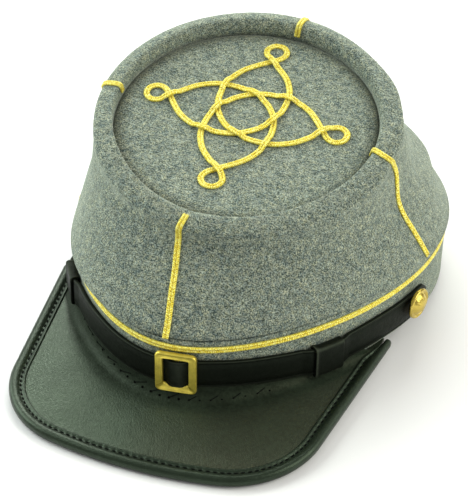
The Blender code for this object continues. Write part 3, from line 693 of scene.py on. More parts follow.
def crossings(line):
    """Places along a closed line where it crosses itself, in order."""
    found = []
    count = len(line)
    ends = np.array([(p.x, p.y) for p in line])
    steps = np.roll(ends, -1, axis=0) - ends
    for i in range(count):
        later = np.arange(i + 2, count if i else count - 1)
        area = steps[i, 0] * steps[later, 1] - steps[i, 1] * steps[later, 0]
        area = np.where(np.abs(area) < 1e-9, 1e-9, area)
        gap = ends[later] - ends[i]
        u = (gap[:, 0] * steps[later, 1] - gap[:, 1] * steps[later, 0]) / area
        v = (gap[:, 0] * steps[i, 1] - gap[:, 1] * steps[i, 0]) / area
        for k in np.nonzero((u >= 0) & (u < 1) & (v >= 0) & (v < 1))[0]:
            found += [i + float(u[k]), float(later[k] + v[k])]
    return sorted(found)


knot_line, knot_length = even_loop(knot_points(), KNOT_STATIONS)
knot_step = knot_length / KNOT_STATIONS
knot_over = crossings(knot_line)[::2]
knot_path = []
for i, point in enumerate(knot_line):
    lift = 0.0
    for place in knot_over:
        away = abs((i - place + KNOT_STATIONS / 2) % KNOT_STATIONS - KNOT_STATIONS / 2) * knot_step
        lift = max(lift, KNOT_LIFT * rise(away, KNOT_LIFT_FLAT, KNOT_LIFT_RAMP))
    knot_path.append(ROOF @ Vector((point.x + KNOT_X, point.y + KNOT_Y, lift - KNOT_SUNK)))
up_z = Vector((0.0, 0.0, 1.0))
roof_up = ROOF.to_3x3() @ up_z
knot_bm = sweep(knot_path, [roof_up] * KNOT_STATIONS, braid_profile(*KNOT_SIZE), closed=True)
finish_piece("roof_knot_thread", knot_bm, gold, ("roof_knot",))

# ---- wool fuzz ------------------------------------------------------------------------------
# Loose pale fibres of the wool that stand a little off the felt, on the crown, the roof and the
# band. Each is a thin curved spike.

FUZZ = (
    # fibres, lowest and highest turn, first and last row down the crown, least and most length
    (420, 0.0, 360.0, 2.0, 7.0, 1.6, 4.2),
    (420, -65.0, 65.0, 1.9, 2.6, 1.5, 3.6),
    (90, 35.0, 110.0, 3.0, 7.0, 2.0, 4.5),
    (90, 150.0, 330.0, 1.4, 2.3, 1.2, 3.0),
)
ROOF_FIBRES, ROOF_FUZZ_RADIUS, ROOF_FUZZ_LENGTHS = 150, 55.0, (1.5, 4.0)
BAND_FIBRES, BAND_FUZZ_HEIGHTS, BAND_FUZZ_LENGTHS = 90, (-4.6, 3.0), (1.2, 3.2)

fuzz_wool = new_material("fuzz_wool", (0.56, 0.59, 0.49), 0.9)[0]
fibre_bm = bmesh.new()
bmesh.ops.create_cone(fibre_bm, cap_ends=True, segments=3, radius1=1.0, radius2=0.25, depth=1.0,
                      matrix=Matrix.Translation((0.0, 0.0, 0.5)))
long_edges = [e for e in fibre_bm.edges if abs(e.verts[0].co.z - e.verts[1].co.z) > 0.5]
bmesh.ops.subdivide_edges(fibre_bm, edges=long_edges, cuts=3, use_grid_fill=True)
fibre_mesh = bpy.data.meshes.new("fibre")
fibre_bm.to_mesh(fibre_mesh)
fibre_bm.free()

fuzz_bm = bmesh.new()
chance = random.Random(4)


def add_fibre(root, out, along, length):
    """One curved spike, from a root in the wool, lying nearly along the surface."""
    side = out.cross(along).normalized()
    lean = chance.uniform(0.08, 0.4)
    bend = chance.uniform(-0.5, 0.5)
    lift = chance.uniform(0.2, 0.7)
    thick = chance.uniform(0.045, 0.085)
    done = len(fuzz_bm.verts)
    fuzz_bm.from_mesh(fibre_mesh)
    fuzz_bm.verts.ensure_lookup_table()
    for v in fuzz_bm.verts[done:]:
        h = v.co.z
        spine = (along * h + out * (lean * h - 0.4 * lift * h * h) + side * (bend * h * h)) * length
        v.co = REST @ ((root + spine + side * (v.co.x * thick) + out * (v.co.y * thick)) * MM)


for count, turn_from, turn_to, row_from, row_to, least, most in FUZZ:
    for _ in range(count):
        turn, row = chance.uniform(turn_from, turn_to), chance.uniform(row_from, row_to)
        root = crown_spot(turn, row)
        down = crown_spot(turn, min(row + 0.1, LIP_ROW)) - crown_spot(turn, row - 0.1)
        across = crown_spot(turn + 1.0, row) - root
        out = down.cross(across).normalized()
        heading = chance.uniform(0.0, 2.0 * math.pi)
        along = across.normalized() * math.cos(heading) + down.normalized() * math.sin(heading)
        add_fibre(root - out * 0.05, out, along, chance.uniform(least, most))
for _ in range(ROOF_FIBRES):
    turn, radius = chance.uniform(0.0, 360.0), ROOF_FUZZ_RADIUS * math.sqrt(chance.random())
    heading = chance.uniform(0.0, 2.0 * math.pi)
    along = ROOF.to_3x3() @ Vector((math.cos(heading), math.sin(heading), 0.0))
    add_fibre(on_roof(turn, radius, -0.4), roof_up, along, chance.uniform(*ROOF_FUZZ_LENGTHS))
for _ in range(BAND_FIBRES):
    turn, height = chance.uniform(0.0, 360.0), chance.uniform(*BAND_FUZZ_HEIGHTS)
    out = oval(turn)[1]
    heading = chance.uniform(0.0, 2.0 * math.pi)
    along = up_z.cross(out) * math.cos(heading) + up_z * math.sin(heading)
    add_fibre(on_band(turn, height, -0.05), out, along, chance.uniform(*BAND_FUZZ_LENGTHS))
finish_piece("wool_fuzz", fuzz_bm, fuzz_wool)

# ---- chin strap -----------------------------------------------------------------------------
# A half inch strap of black bridle leather lying along the band over the peak, with pressed edge
# lines. Its rounded ends are held by the side buttons.

STRAP_WIDTH, STRAP_THICK, STRAP_SEAT = 12.8, 1.8, 0.35
STRAP_LINE = (
    # turn, height of the strap's middle
    (-100, -11.2), (-50, -11.0), (-32, -10.3), (-20, -11.0), (-5, -11.6), (8, -11.4), (18, -11.4),
    (27, -12.2), (36, -13.0), (46, -14.6), (55, -14.4), (66, -12.9), (78, -12.8), (85, -12.5),
)
STRAP_END_LEFT, STRAP_END_RIGHT = 85.9, -98.0
STRAP_END_TAPER = 6.0
KEEPER_LEFT, KEEPER_RIGHT = 50.5, -54.0
KEEPER_LENGTH, KEEPER_THICK, KEEPER_GAP = 13.6, 1.0, 0.3
BUCKLE_TURN = 4.7
STRAP_HUMP, HUMP_FLAT, HUMP_RAMP = 1.7, 1.2, 4.4

turn_table = np.arange(-120.0, 120.01, 0.5)
band_spots = np.array([on_band(t, 0.0)[:2] for t in turn_table])
arc_table = np.concatenate([[0.0], np.cumsum(np.linalg.norm(np.diff(band_spots, axis=0), axis=1))])


def arc_at(turn):
    """Length along the band's outside up to a turn."""
    return float(np.interp(turn, turn_table, arc_table))


def turn_at(turn_from, length):
    """The turn that lies a length further along the band than another turn."""
    return float(np.interp(arc_at(turn_from) + length, arc_table, turn_table))


def strap_height(turn):
    """Height of the strap's middle, with the bends of its line softened."""
    nearby = [turn + off for off in (-3.0, -1.5, 0.0, 1.5, 3.0)]
    return float(np.interp(nearby, *zip(*STRAP_LINE)).mean())


def leather_material(name, base, roughness, grain, gloss, seam_shade_to=0.0):
    """Dyed leather: fine pebbled grain, paler and shinier where it is worn, and painted shade
    beside a seam, a weaker reflection up to a share of the way round the piece."""
    made, tree, shader = new_material(name, base, roughness)
    where = coordinates(tree, "Object")
    pores = tree.nodes.new("ShaderNodeTexVoronoi")
    pores.feature = "DISTANCE_TO_EDGE"
    pores.inputs["Scale"].default_value = 800.0
    tree.links.new(where, pores.inputs["Vector"])
    creases = ramp_node(tree, pores.outputs["Distance"], (
        (0.0, (0.0, 0.0, 0.0)), (0.2, (1.0, 1.0, 1.0))))
    wear = noise_node(tree, where, 42.0, detail=4.0)
    pebble = noise_node(tree, where, 620.0)
    mottle = math_node(tree, "ADD", math_node(tree, "MULTIPLY", wear, 0.5),
                       math_node(tree, "MULTIPLY", pebble, 0.5))
    tone = ramp_node(tree, mottle, (
        (0.36, tuple(0.6 * c for c in base)), (0.64, tuple(1.5 * c for c in base))))
    tree.links.new(tone, shader.inputs["Base Color"])
    shine = ramp_node(tree, mottle, (
        (0.36, (roughness * 1.18,) * 3), (0.64, (roughness * 0.88,) * 3)))
    tree.links.new(shine, shader.inputs["Roughness"])
    swells = noise_node(tree, where, 70.0, detail=2.0, rough=0.5)
    normal = bump_node(tree, swells, 0.22 * grain, 0.001)
    normal = bump_node(tree, creases, 0.34 * grain, 0.00012, normal)
    normal = bump_node(tree, pebble, 0.40 * grain, 0.0002, normal)
    tree.links.new(normal, shader.inputs["Normal"])
    shader.inputs["Specular IOR Level"].default_value = gloss
    # painted shade: the reflection is weakened on the margin and its foot, where the strap shades
    # them
    if seam_shade_to:
        seam_shade = ramp_node(tree, coordinate_parts(tree, "UV")[1], (
            (seam_shade_to, (0.16 * gloss,) * 3), (seam_shade_to + 0.10, (gloss,) * 3)))
        tree.links.new(seam_shade, shader.inputs["Specular IOR Level"])
    shader.inputs["Specular Tint"].default_value = (0.74, 1.0, 0.70, 1.0)
    return made


def add_wear_and_highlight(made, marks):
    """Pale lines, partly wear and partly painted highlight. Each mark has the way it is measured (0
    along the piece, 1 round it), its place and half width as shares of that way, and how strong it
    is."""
    tree = made.node_tree
    base = tree.nodes["Principled BSDF"].inputs["Base Color"]
    ways = coordinate_parts(tree, "UV")
    patchiness = noise_node(tree, coordinates(tree, "Object"), 260.0)
    for way, place, half, amount in marks:
        away = math_node(tree, "ABSOLUTE", math_node(tree, "SUBTRACT", ways[way], place))
        line = ramp_node(tree, math_node(tree, "DIVIDE", away, half), (
            (0.0, (amount,) * 3), (1.0, (0.0, 0.0, 0.0))))
        patchy = math_node(tree, "MULTIPLY", patchiness, line)
        paleness = math_node(tree, "MULTIPLY", patchy, 2.0)
        tree.links.new(mix_node(tree, paleness, base.links[0].from_socket, WEAR_AND_HIGHLIGHT_LEATHER), base)


def strap_material(name, marks):
    """The strap's black bridle leather, with its pale lines of wear and painted highlight."""
    made = leather_material(name, (0.0042, 0.0050, 0.0036), 0.50, grain=0.8, gloss=0.13)
    add_wear_and_highlight(made, marks)
    return made


def rounded_end(to_end, taper):
    """Share of the full width at a distance from a rounded end."""
    share = min(1.0, max(0.0, to_end) / taper)
    return max(0.03, math.sqrt(1.0 - (1.0 - share) ** 2))


def strap_seat(turn):
    """How far the strap's back stands off the band: more in the slides and over the bar."""
    seat = STRAP_SEAT
    for keeper in (KEEPER_LEFT, KEEPER_RIGHT):
        in_keeper = rise(arc_at(turn) - arc_at(keeper), KEEPER_LENGTH / 2 + 0.6, 5.0)
        seat = max(seat, STRAP_SEAT + (KEEPER_THICK + KEEPER_GAP) * in_keeper)
    return seat + STRAP_HUMP * rise(arc_at(turn) - arc_at(BUCKLE_TURN), HUMP_FLAT, HUMP_RAMP)


STRAP_OUTLINE = (
    # across as a share of the half width, out as a share of the thickness
    (-1.0, 0.25), (-1.0, 0.75), (-0.97, 0.95), (-0.92, 1.0), (-0.84, 1.0), (-0.815, 0.93),
    (-0.79, 1.0), (-0.4, 1.04), (0.0, 1.05), (0.4, 1.04), (0.79, 1.0), (0.815, 0.93), (0.84, 1.0),
    (0.92, 1.0), (0.97, 0.95), (1.0, 0.75), (1.0, 0.25), (0.96, 0.03), (0.9, 0.0), (0.0, 0.0),
    (-0.9, 0.0), (-0.96, 0.03),
)
STRAP_STATIONS, STRAP_AROUND = 300, len(STRAP_OUTLINE)
CLOSER_AT_ENDS = 0.012
# pale colour of the lines of wear and painted highlight on the strap and the keepers
WEAR_AND_HIGHLIGHT_LEATHER = (0.085, 0.100, 0.070)
strap_from, strap_to = arc_at(STRAP_END_RIGHT), arc_at(STRAP_END_LEFT)
strap_rings = []
for i in range(STRAP_STATIONS + 1):
    share = i / STRAP_STATIONS
    share -= CLOSER_AT_ENDS * math.sin(2.0 * math.pi * share)
    arc = strap_from + (strap_to - strap_from) * share
    turn = float(np.interp(arc, arc_table, turn_table))
    half = 0.5 * STRAP_WIDTH * rounded_end(min(arc - strap_from, strap_to - arc), STRAP_END_TAPER)
    seat, middle = strap_seat(turn), strap_height(turn)
    strap_rings.append([on_band(turn, middle + half * w, seat + STRAP_THICK * h)
                        for w, h in STRAP_OUTLINE])
strap_bm = shaped_grid(STRAP_STATIONS, STRAP_AROUND,
                       lambda i, j: strap_rings[i][j % STRAP_AROUND])
bmesh.ops.holes_fill(strap_bm, edges=[e for e in strap_bm.edges if e.is_boundary], sides=0)
over_bar = (arc_at(BUCKLE_TURN) - strap_from) / (strap_to - strap_from)
# worn and with painted highlight along both edges, and a painted highlight over the buckle's bar
strap_leather = strap_material("strap_leather", (
    (1, 0.115, 0.035, 0.3), (1, 0.635, 0.035, 0.3), (0, over_bar, 0.012, 0.2)))
finish_piece("chin_strap_leather", strap_bm, strap_leather, ("chin_strap",))

# ---- keepers --------------------------------------------------------------------------------
# Two slides of the strap leather, folded round the strap and closed behind it. They are pulled
# tight, both edges stand up as a low bead, and the right end is turned over.

KEEPER_RING, KEEPER_STEPS = 48, 28
KEEPER_SIDES = (
    # for each side: the corner at its end, the way along it, and the angle where its corner starts
    ((1, 1), (1, 0), 90.0), ((1, -1), (0, -1), 0.0), ((-1, -1), (-1, 0), -90.0),
    ((-1, 1), (0, 1), -180.0),
)


def keeper_outline(reach, low, high, radius):
    """Rounded box round the strap: height from its middle and distance off the band."""
    half_w, half_h = reach - radius, 0.5 * (high - low) - radius
    corner = 0.5 * math.pi * radius
    total = 4.0 * (half_w + half_h + corner)
    outline = []
    for k in range(KEEPER_RING):
        walked = total * k / KEEPER_RING
        for (at_w, at_h), (along_w, along_h), start in KEEPER_SIDES:
            straight = 2.0 * (abs(along_w) * half_w + abs(along_h) * half_h)
            if walked <= straight + corner:
                break
            walked -= straight + corner
        back = max(0.0, straight - walked)
        a = math.radians(start) - max(0.0, walked - straight) / radius
        outline.append((at_w * half_w + radius * math.cos(a) - along_w * back,
                        at_h * half_h + radius * math.sin(a) - along_h * back
                        + 0.5 * (high + low)))
    return outline


def add_keeper(name, centre):
    """One slide: its outside is walked first from end to end, then its inside back again."""
    shares = [k / KEEPER_STEPS for k in range(KEEPER_STEPS + 1)]
    rings = []
    for share, outside in [(s, 1.0) for s in shares] + [(1.0 - s, 0.0) for s in shares]:
        turn = turn_at(centre, KEEPER_LENGTH * (share - 0.5))
        seat, middle = strap_seat(turn), strap_height(turn)
        edge = min(share, 1.0 - share) * KEEPER_LENGTH
        bead = 0.12 * math.exp(-(edge / 0.9) ** 2)
        fold = 0.4 * math.exp(-((share * KEEPER_LENGTH - 0.72) / 0.8) ** 2)
        grow = (KEEPER_THICK - 0.15 * (edge < 0.3) + bead + fold) * outside
        outline = keeper_outline(0.5 * STRAP_WIDTH + 0.2 + 0.5 * grow, seat - KEEPER_GAP - grow,
                                 seat + STRAP_THICK + 0.35 + grow, 0.7 + 0.5 * outside)
        rings.append([on_band(turn, middle + w, h) for w, h in outline])
    count = len(rings)
    bm = shaped_grid(count, KEEPER_RING, lambda i, j: rings[i % count][j % KEEPER_RING])
    finish_piece(name + "_leather", bm, keeper_leather, (name,))


# worn and with painted highlight at the turned end and along the upper fold
keeper_leather = strap_material("keeper_leather", ((0, 0.005, 0.035, 0.6), (1, 0.362, 0.04, 0.3)))
add_keeper("keeper_left", KEEPER_LEFT)
add_keeper("keeper_right", KEEPER_RIGHT)

# ---- peak -----------------------------------------------------------------------------------
# A stiff plate of black leather that falls away a little to the front. Its inner edge turns up
# as a margin behind the strap, and a line of slanted stitches holds it to the band.

PEAK_END_X, PEAK_SIDE_LEAN = 78.0, 0.138
PEAK_CORNER_RADIUS, PEAK_FRONT_RADIUS = 40.0, 196.0
PEAK_STATIONS, PEAK_ACROSS = 240, 30
PEAK_THICK, PLATE_INSET = 1.8, 4.2
PEAK_TURN = 70.0
BINDING_REACH = 7.0
MARGIN_OFF, MARGIN_THICK, MARGIN_FOOT = 0.3, 1.0, 4.6
# where the peak's painted shade toward the wearer's left begins, and how fast it grows
REFLECTION_SHADE_FROM, REFLECTION_SHADE_RATE = -0.010, 22.0


def peak_outline(count):
    """Evenly spaced outline of the peak from the wearer's left end to the right end, with the
    ways inward and its length: a straight side, a corner's arc and the front's flat arc."""
    start = Vector((PEAK_END_X, PEAK_END_Y))
    down = Vector((-PEAK_SIDE_LEAN, -1.0)).normalized()
    inward = Vector((down.y, -down.x))
    front_centre = Vector((0.0, PEAK_FRONT_RADIUS - PEAK_REACH))
    reach = PEAK_FRONT_RADIUS - PEAK_CORNER_RADIUS
    base = start + inward * PEAK_CORNER_RADIUS - front_centre
    along = -base.dot(down) + math.sqrt(base.dot(down) ** 2 - base.length_squared + reach ** 2)
    corner = start + inward * PEAK_CORNER_RADIUS + down * along
    side_end = corner - inward * PEAK_CORNER_RADIUS
    touch = (corner - front_centre).normalized()
    from_angle, to_angle = math.atan2(-inward.y, -inward.x), math.atan2(touch.y, touch.x)
    fine = [start.lerp(side_end, i / 40.0) for i in range(40)]
    for i in range(60):
        a = from_angle + (to_angle - from_angle) * i / 60.0
        fine.append(corner + Vector((math.cos(a), math.sin(a))) * PEAK_CORNER_RADIUS)
    for i in range(31):
        a = to_angle + (-math.pi / 2.0 - to_angle) * i / 30.0
        fine.append(front_centre + Vector((math.cos(a), math.sin(a))) * PEAK_FRONT_RADIUS)
    fine += [Vector((-p.x, p.y)) for p in reversed(fine[:-1])]
    line, length = spread_evenly(fine, count + 1, endpoint=True)
    inwards = []
    for before, after in zip(line[:1] + line, line[1:] + line[-1:]):
        ahead = after - before
        inwards.append(Vector((ahead.y, -ahead.x)).normalized())
    return line, inwards, length


def add_painted_reflection_shade(made):
    """Painted shade: browner and duller reflections on the leather toward the wearer's left, where
    the peak reflects less light.
    """
    tree = made.node_tree
    leftward = coordinate_parts(tree, "Object")[0]
    brown = math_node(tree, "MULTIPLY", math_node(tree, "ADD", leftward, -REFLECTION_SHADE_FROM), REFLECTION_SHADE_RATE)
    glint = ramp_node(tree, brown, ((0.0, (0.74, 1.0, 0.70)), (1.0, (0.94, 0.92, 0.60))))
    tree.links.new(glint, tree.nodes["Principled BSDF"].inputs["Specular Tint"])
    multiply_input(made, "Specular IOR Level", ramp_node(tree, brown, (
        (0.0, (1.0, 1.0, 1.0)), (1.0, (0.66, 0.66, 0.66)))))


leather = leather_material("peak_leather", (0.019, 0.027, 0.017), 0.40, grain=1.5, gloss=0.76,
                           seam_shade_to=0.31)
# painted shade: browner, duller reflection toward the wearer's left
add_painted_reflection_shade(leather)
peak_line, peak_inwards, peak_length = peak_outline(PEAK_STATIONS)


def room_beside_band(edge):
    """Free width of the plate between the band and a point on the peak's edge."""
    near = min((on_band(turn, 0.0).xy - edge).length for turn in np.arange(-90.0, 90.1, 1.0))
    return near - 0.4


def flange_reach(edge):
    """How far the binding reaches in: less at the peak's ends, where there is less room."""
    room = room_beside_band(edge)
    return min(BINDING_REACH, max(room - 1.7, min(room, 2.9)))


def margin_top(turn):
    """Height of the margin's upper edge, just below the strap and lower below the slides."""
    top = strap_height(turn) - 0.5 * STRAP_WIDTH - 0.35
    for keeper in (KEEPER_LEFT, KEEPER_RIGHT):
        top -= 1.3 * rise(arc_at(turn) - arc_at(keeper), KEEPER_LENGTH / 2 + 0.5, 0.8)
    return top


def margin_profile(high, foot):
    """Distance off the band and height, up the margin's back, over it and down its hollow foot."""
    face = MARGIN_OFF + MARGIN_THICK
    soft = min(0.3, 0.5 * high)
    profile = [
        (MARGIN_OFF, 0.0), (MARGIN_OFF, 0.5 * high), (MARGIN_OFF, high - soft),
        (MARGIN_OFF + 0.3 * soft, high - 0.3 * soft), (MARGIN_OFF + soft, high),
        (face - soft, high), (face - 0.3 * soft, high - 0.3 * soft), (face, high - soft),
    ]
    for degrees in np.linspace(0.0, 90.0, 9):
        a = math.radians(degrees)
        profile.append((face + foot * (1.0 - math.cos(a)), min(foot, high) * (1.0 - math.sin(a))))
    return profile


def peak_ring(i):
    """Once round the plate at one station: up and over the margin, down its hollow foot, out to
    the edge, and back underneath."""
    turn = PEAK_TURN * (1.0 - 2.0 * i / PEAK_STATIONS)
    edge = peak_line[i]
    outer = edge + peak_inwards[i] * (PLATE_INSET - 0.2)
    outer_off = (outer - on_band(turn, 0.0).xy).dot(oval(turn)[1].xy)
    # the margin dies away at both ends, where the plate grows narrow
    present = min(1.0, max(0.0, (outer_off - 3.6) / 2.5))
    foot = room_beside_band(edge) - flange_reach(edge) - MARGIN_THICK - 0.2
    foot = min(MARGIN_FOOT, max(0.4, foot))
    bulge = camber(turn)
    floor = peak_top(on_band(turn, 0.0, MARGIN_OFF + MARGIN_THICK).y) + bulge
    profile = margin_profile(max(0.0, margin_top(turn) - floor) * present, foot)
    ring = [on_band(turn, bulge, -BAND_THICK - 0.8)]
    for k, (off, up) in enumerate(profile):
        if present == 0.0:
            off = min(off, outer_off - 0.15 * (len(profile) - k))
        ring.append(on_band(turn, bulge + up, off))
    last = ring[-1]
    length = (outer - last.xy).length
    level_from = max(0.3, 1.0 - (flange_reach(edge) - PLATE_INSET + 0.5) / length)
    for k in range(1, PEAK_ACROSS + 1):
        flat = last.xy.lerp(outer, k / PEAK_ACROSS)
        fall = min(1.0, k / PEAK_ACROSS / level_from)
        ring.append(Vector((*flat, bulge * (1.0 - fall * fall * (2.0 - fall)))))
    ring = [Vector((p.x, p.y, p.z + peak_top(p.y))) for p in ring]
    for share in (1.0, 0.85, 0.6, 0.3, 0.0):
        flat = ring[0].xy.lerp(outer, share)
        drop = 1.0 - min(1.0, share / 0.8)
        ring.append(Vector((*flat, peak_top(flat.y) + bulge * drop - PEAK_THICK)))
    return ring


peak_rings = [peak_ring(i) for i in range(PEAK_STATIONS + 1)]
PEAK_AROUND = len(peak_rings[0])
peak_bm = shaped_grid(PEAK_STATIONS, PEAK_AROUND, lambda i, j: peak_rings[i][j % PEAK_AROUND])
bmesh.ops.holes_fill(peak_bm, edges=[e for e in peak_bm.edges if e.is_boundary], sides=0)
finish_piece("peak_plate", peak_bm, leather, ("peak",))

SEAM_FROM, SEAM_TO, SEAM_PITCH = -44.0, 37.0, 3.55
SEAM_TIGHT_FROM = 9.0
TAIL_STEPS, TAIL_FALL = 10, 0.17

thread, _, thread_shader = new_material("black_thread", (0.006, 0.007, 0.006), 0.8)
# the stitch holes are black spots on the leather: painted shade inside each hole
hole_shade_look, _, hole_shader = new_material("stitch_hole_shade", (0.001, 0.001, 0.001), 0.9)
for shader in (thread_shader, hole_shader):
    shader.inputs["Specular IOR Level"].default_value = 0.02


def add_stitches(name, spots, look):
    """Small rounded stitches: each has a place, a direction, an up, a length, a width and a
    height."""
    bm = bmesh.new()
    for place, along, up, length, wide, tall in spots:
        side = up.cross(along).normalized()
        along = side.cross(up).normalized()
        lie = Matrix((along, side, up.normalized())).transposed().to_4x4()
        lie.translation = place
        size = Matrix.Diagonal((length / 2, wide / 2, tall / 2, 1.0))
        whole = REST @ Matrix.Scale(MM, 4) @ lie @ size
        bmesh.ops.create_uvsphere(bm, u_segments=8, v_segments=5, radius=1.0, matrix=whole)
    finish_piece(name, bm, look)


def on_foot(turn, degrees):
    """A point on the margin's hollow foot, from its top at 0 degrees to its bottom at 90, and
    the way out of the leather there."""
    a = math.radians(degrees)
    off = MARGIN_OFF + MARGIN_THICK + MARGIN_FOOT * (1.0 - math.cos(a))
    spot = on_band(turn, MARGIN_FOOT * (1.0 - math.sin(a)), off)
    spot.z += peak_top(spot.y) + camber(turn)
    return spot, oval(turn)[1] * math.cos(a) + Vector((0.0, 0.0, math.sin(a)))


hole_spots, tail_spots = [], []
for k in range(int((SEAM_TO - SEAM_FROM) / SEAM_PITCH) + 1):
    turn = SEAM_FROM + SEAM_PITCH * k
    low = min(50.0, max(3.0, 51.0 + 1.18 * turn))
    wide, tail = (1.05, 4.6) if turn < SEAM_TIGHT_FROM else (0.7, 2.2)
    hole, up = on_foot(turn, low)
    along = on_foot(turn + 1.0, low)[0] - hole
    hole_spots.append((hole + up * 0.05, along, up, 1.2 * wide, wide, 0.3))
    if k % 2 == 0:
        continue
    # a slanted stitch of short lengths of thread, each lying a little higher on the foot
    for step in range(TAIL_STEPS):
        on = tail * (step + 0.5) / TAIL_STEPS
        spot, out = on_foot(turn + on, low * (1.0 - TAIL_FALL * on))
        after = on_foot(turn + on + 0.4, low * (1.0 - TAIL_FALL * (on + 0.4)))[0]
        tail_spots.append((spot + out * 0.06, after - spot, out, 1.3, 0.4, 0.36))
add_stitches("peak_seam_holes", hole_spots, hole_shade_look)
add_stitches("peak_seam_stitches", tail_spots, thread)

# ---- binding --------------------------------------------------------------------------------
# A strip of the same leather folded over the peak's edge round a cord, which gives the bead, and
# sewn down in the groove beside it. Its inner edge lies flat on the plate.

BINDING_OUTLINE = (
    # in from the outline, up from the plate's middle
    (0.0, 0.0), (0.03, 0.45), (0.12, 0.88), (0.30, 1.28), (0.55, 1.62), (0.90, 1.93), (1.35, 2.14),
    (1.90, 2.24), (2.50, 2.22), (3.05, 2.10), (3.55, 1.88), (4.00, 1.58), (4.35, 1.30),
    (4.65, 1.12), (5.00, 1.04), (5.35, 1.14), (5.70, 1.42), (6.05, 1.62), (6.40, 1.66),
    (6.75, 1.52), (7.00, 1.26), (7.05, 1.00), (6.7, 0.94),
)
BINDING_STATIONS = 720
STITCH_PITCH, STITCH_IN, STITCH_HEIGHT = 3.1, 5.0, 1.12
CORD_MIDDLE, CORD_INSIDE = 2.0, 2.3

binding_line, binding_inwards, _ = peak_outline(BINDING_STATIONS)
binding_rings = []
for i, (edge, inward) in enumerate(zip(binding_line, binding_inwards)):
    flat_share = max(0.1, (flange_reach(edge) - CORD_INSIDE) / (BINDING_REACH - CORD_INSIDE))
    swell = rounded_end(min(i, BINDING_STATIONS - i) * peak_length / BINDING_STATIONS, 2.4)
    pull = math.cos(2.0 * math.pi * i * peak_length / BINDING_STATIONS / STITCH_PITCH)
    outline = []
    for x, y in BINDING_OUTLINE:
        # the stitches pull the groove down, and it swells up between them
        pinch = math.exp(-((x - STITCH_IN) / 0.75) ** 2)
        outline.append((x, y - (0.06 * (1.0 + pull) - 0.08 * (1.0 - pull)) * pinch))
    outline += [(x, -y) for x, y in reversed(BINDING_OUTLINE[1:])]
    ring = []
    for x, y in outline:
        if x > CORD_INSIDE:
            x = CORD_INSIDE + (x - CORD_INSIDE) * flat_share
        spot = edge + inward * (CORD_MIDDLE + (x - CORD_MIDDLE) * (0.35 + 0.65 * swell))
        ring.append(Vector((spot.x, spot.y, peak_top(spot.y) - PEAK_MID + y * swell)))
    binding_rings.append(ring)
BINDING_AROUND = len(binding_rings[0])
binding_bm = shaped_grid(BINDING_STATIONS, BINDING_AROUND,
                         lambda i, j: binding_rings[i][j % BINDING_AROUND])
bmesh.ops.holes_fill(binding_bm, edges=[e for e in binding_bm.edges if e.is_boundary], sides=0)
binding_leather = leather_material("binding_leather", (0.010, 0.015, 0.009), 0.33, grain=1.1,
                                   gloss=0.44)
finish_piece("peak_binding_leather", binding_bm, binding_leather,
             ("peak_binding",))

stitch_spots = []
for k in range(1, int(peak_length / STITCH_PITCH)):
    i = round(k * STITCH_PITCH / peak_length * BINDING_STATIONS)
    edge, inward = binding_line[i], binding_inwards[i]
    if flange_reach(edge) < BINDING_REACH - 0.1:
        continue
    spot = edge + inward * STITCH_IN
    ahead = (binding_line[i + 1] - binding_line[i - 1]).to_3d()
    height = peak_top(spot.y) - PEAK_MID + STITCH_HEIGHT
    stitch_spots.append((Vector((*spot, height)), ahead, up_z, 2.1, 0.7, 0.42))
add_stitches("binding_stitches", stitch_spots, thread)

# ---- buckle ---------------------------------------------------------------------------------
# A cast brass frame, brushed on its face and bright along its rounded edges. The strap runs
# behind its sides and over a bar across the middle.

BUCKLE_WIDTH, BUCKLE_HEIGHT, BUCKLE_THICK = 17.3, 19.2, 1.7
BUCKLE_STAND, BUCKLE_RAISE = 2.25, 0.8
SIDE_BAR, END_BAR = 3.25, 2.75
SCOOP_BELOW, SCOOP_DEPTH, SCOOP_HALF = -4.0, 1.4, 4.7
MIDDLE_BAR_WIDTH, MIDDLE_BAR_THICK, MIDDLE_BAR_OUT = 2.0, 0.75, -0.575


def brass_material(name, base, roughness, brushed=0.0):
    """Brass with a little tarnish, and fine level lines where it is brushed."""
    made, tree, shader = new_material(name, base, roughness, 1.0 - brushed)
    where = coordinates(tree, "Object")
    stretch = tree.nodes.new("ShaderNodeMapping")
    stretch.inputs["Scale"].default_value = (300.0, 300.0, 3500.0)
    tree.links.new(where, stretch.inputs["Vector"])
    lines = noise_node(tree, stretch.outputs["Vector"], 1.0)
    tarnish = noise_node(tree, where, 220.0)
    tone = ramp_node(tree, tarnish, (
        (0.3, tuple(0.72 * c for c in base)), (0.65, tuple(1.1 * c for c in base))))
    tree.links.new(tone, shader.inputs["Base Color"])
    gloss = ramp_node(tree, tarnish, (
        (0.3, (roughness * 1.25,) * 3), (0.7, (roughness * 0.85,) * 3)))
    tree.links.new(gloss, shader.inputs["Roughness"])
    tree.links.new(bump_node(tree, lines, 0.1 + brushed, 0.0001), shader.inputs["Normal"])
    return made


buckle_brass = brass_material("buckle_brass", (0.80, 0.65, 0.10), 0.33, brushed=0.25)


def facing_out(turn, height, off):
    """A frame on the band at a turn: across it, up, and straight out."""
    push = oval(turn)[1]
    seat = Matrix((up_z.cross(push), up_z, push)).transposed().to_4x4()
    seat.translation = on_band(turn, height, off)
    return seat


buckle_seat = facing_out(BUCKLE_TURN, strap_height(BUCKLE_TURN) + BUCKLE_RAISE, BUCKLE_STAND)


def rounded_box(half_w, half_h, radius, count):
    """Points round a rounded rectangle, a third of each quarter's on its corner."""
    third = count // 12
    quarter = [Vector((half_w, (half_h - radius) * (k + 0.5) / third)) for k in range(third)]
    for k in range(third):
        a = math.radians(90.0 * k / (third - 1))
        quarter.append(Vector((half_w - radius + radius * math.cos(a),
                               half_h - radius + radius * math.sin(a))))
    quarter += [Vector(((half_w - radius) * (1.0 - (k + 0.5) / third), half_h))
                for k in range(third)]
    return (quarter + [Vector((-p.x, p.y)) for p in reversed(quarter)]
            + [Vector((-p.x, -p.y)) for p in quarter]
            + [Vector((p.x, -p.y)) for p in reversed(quarter)])


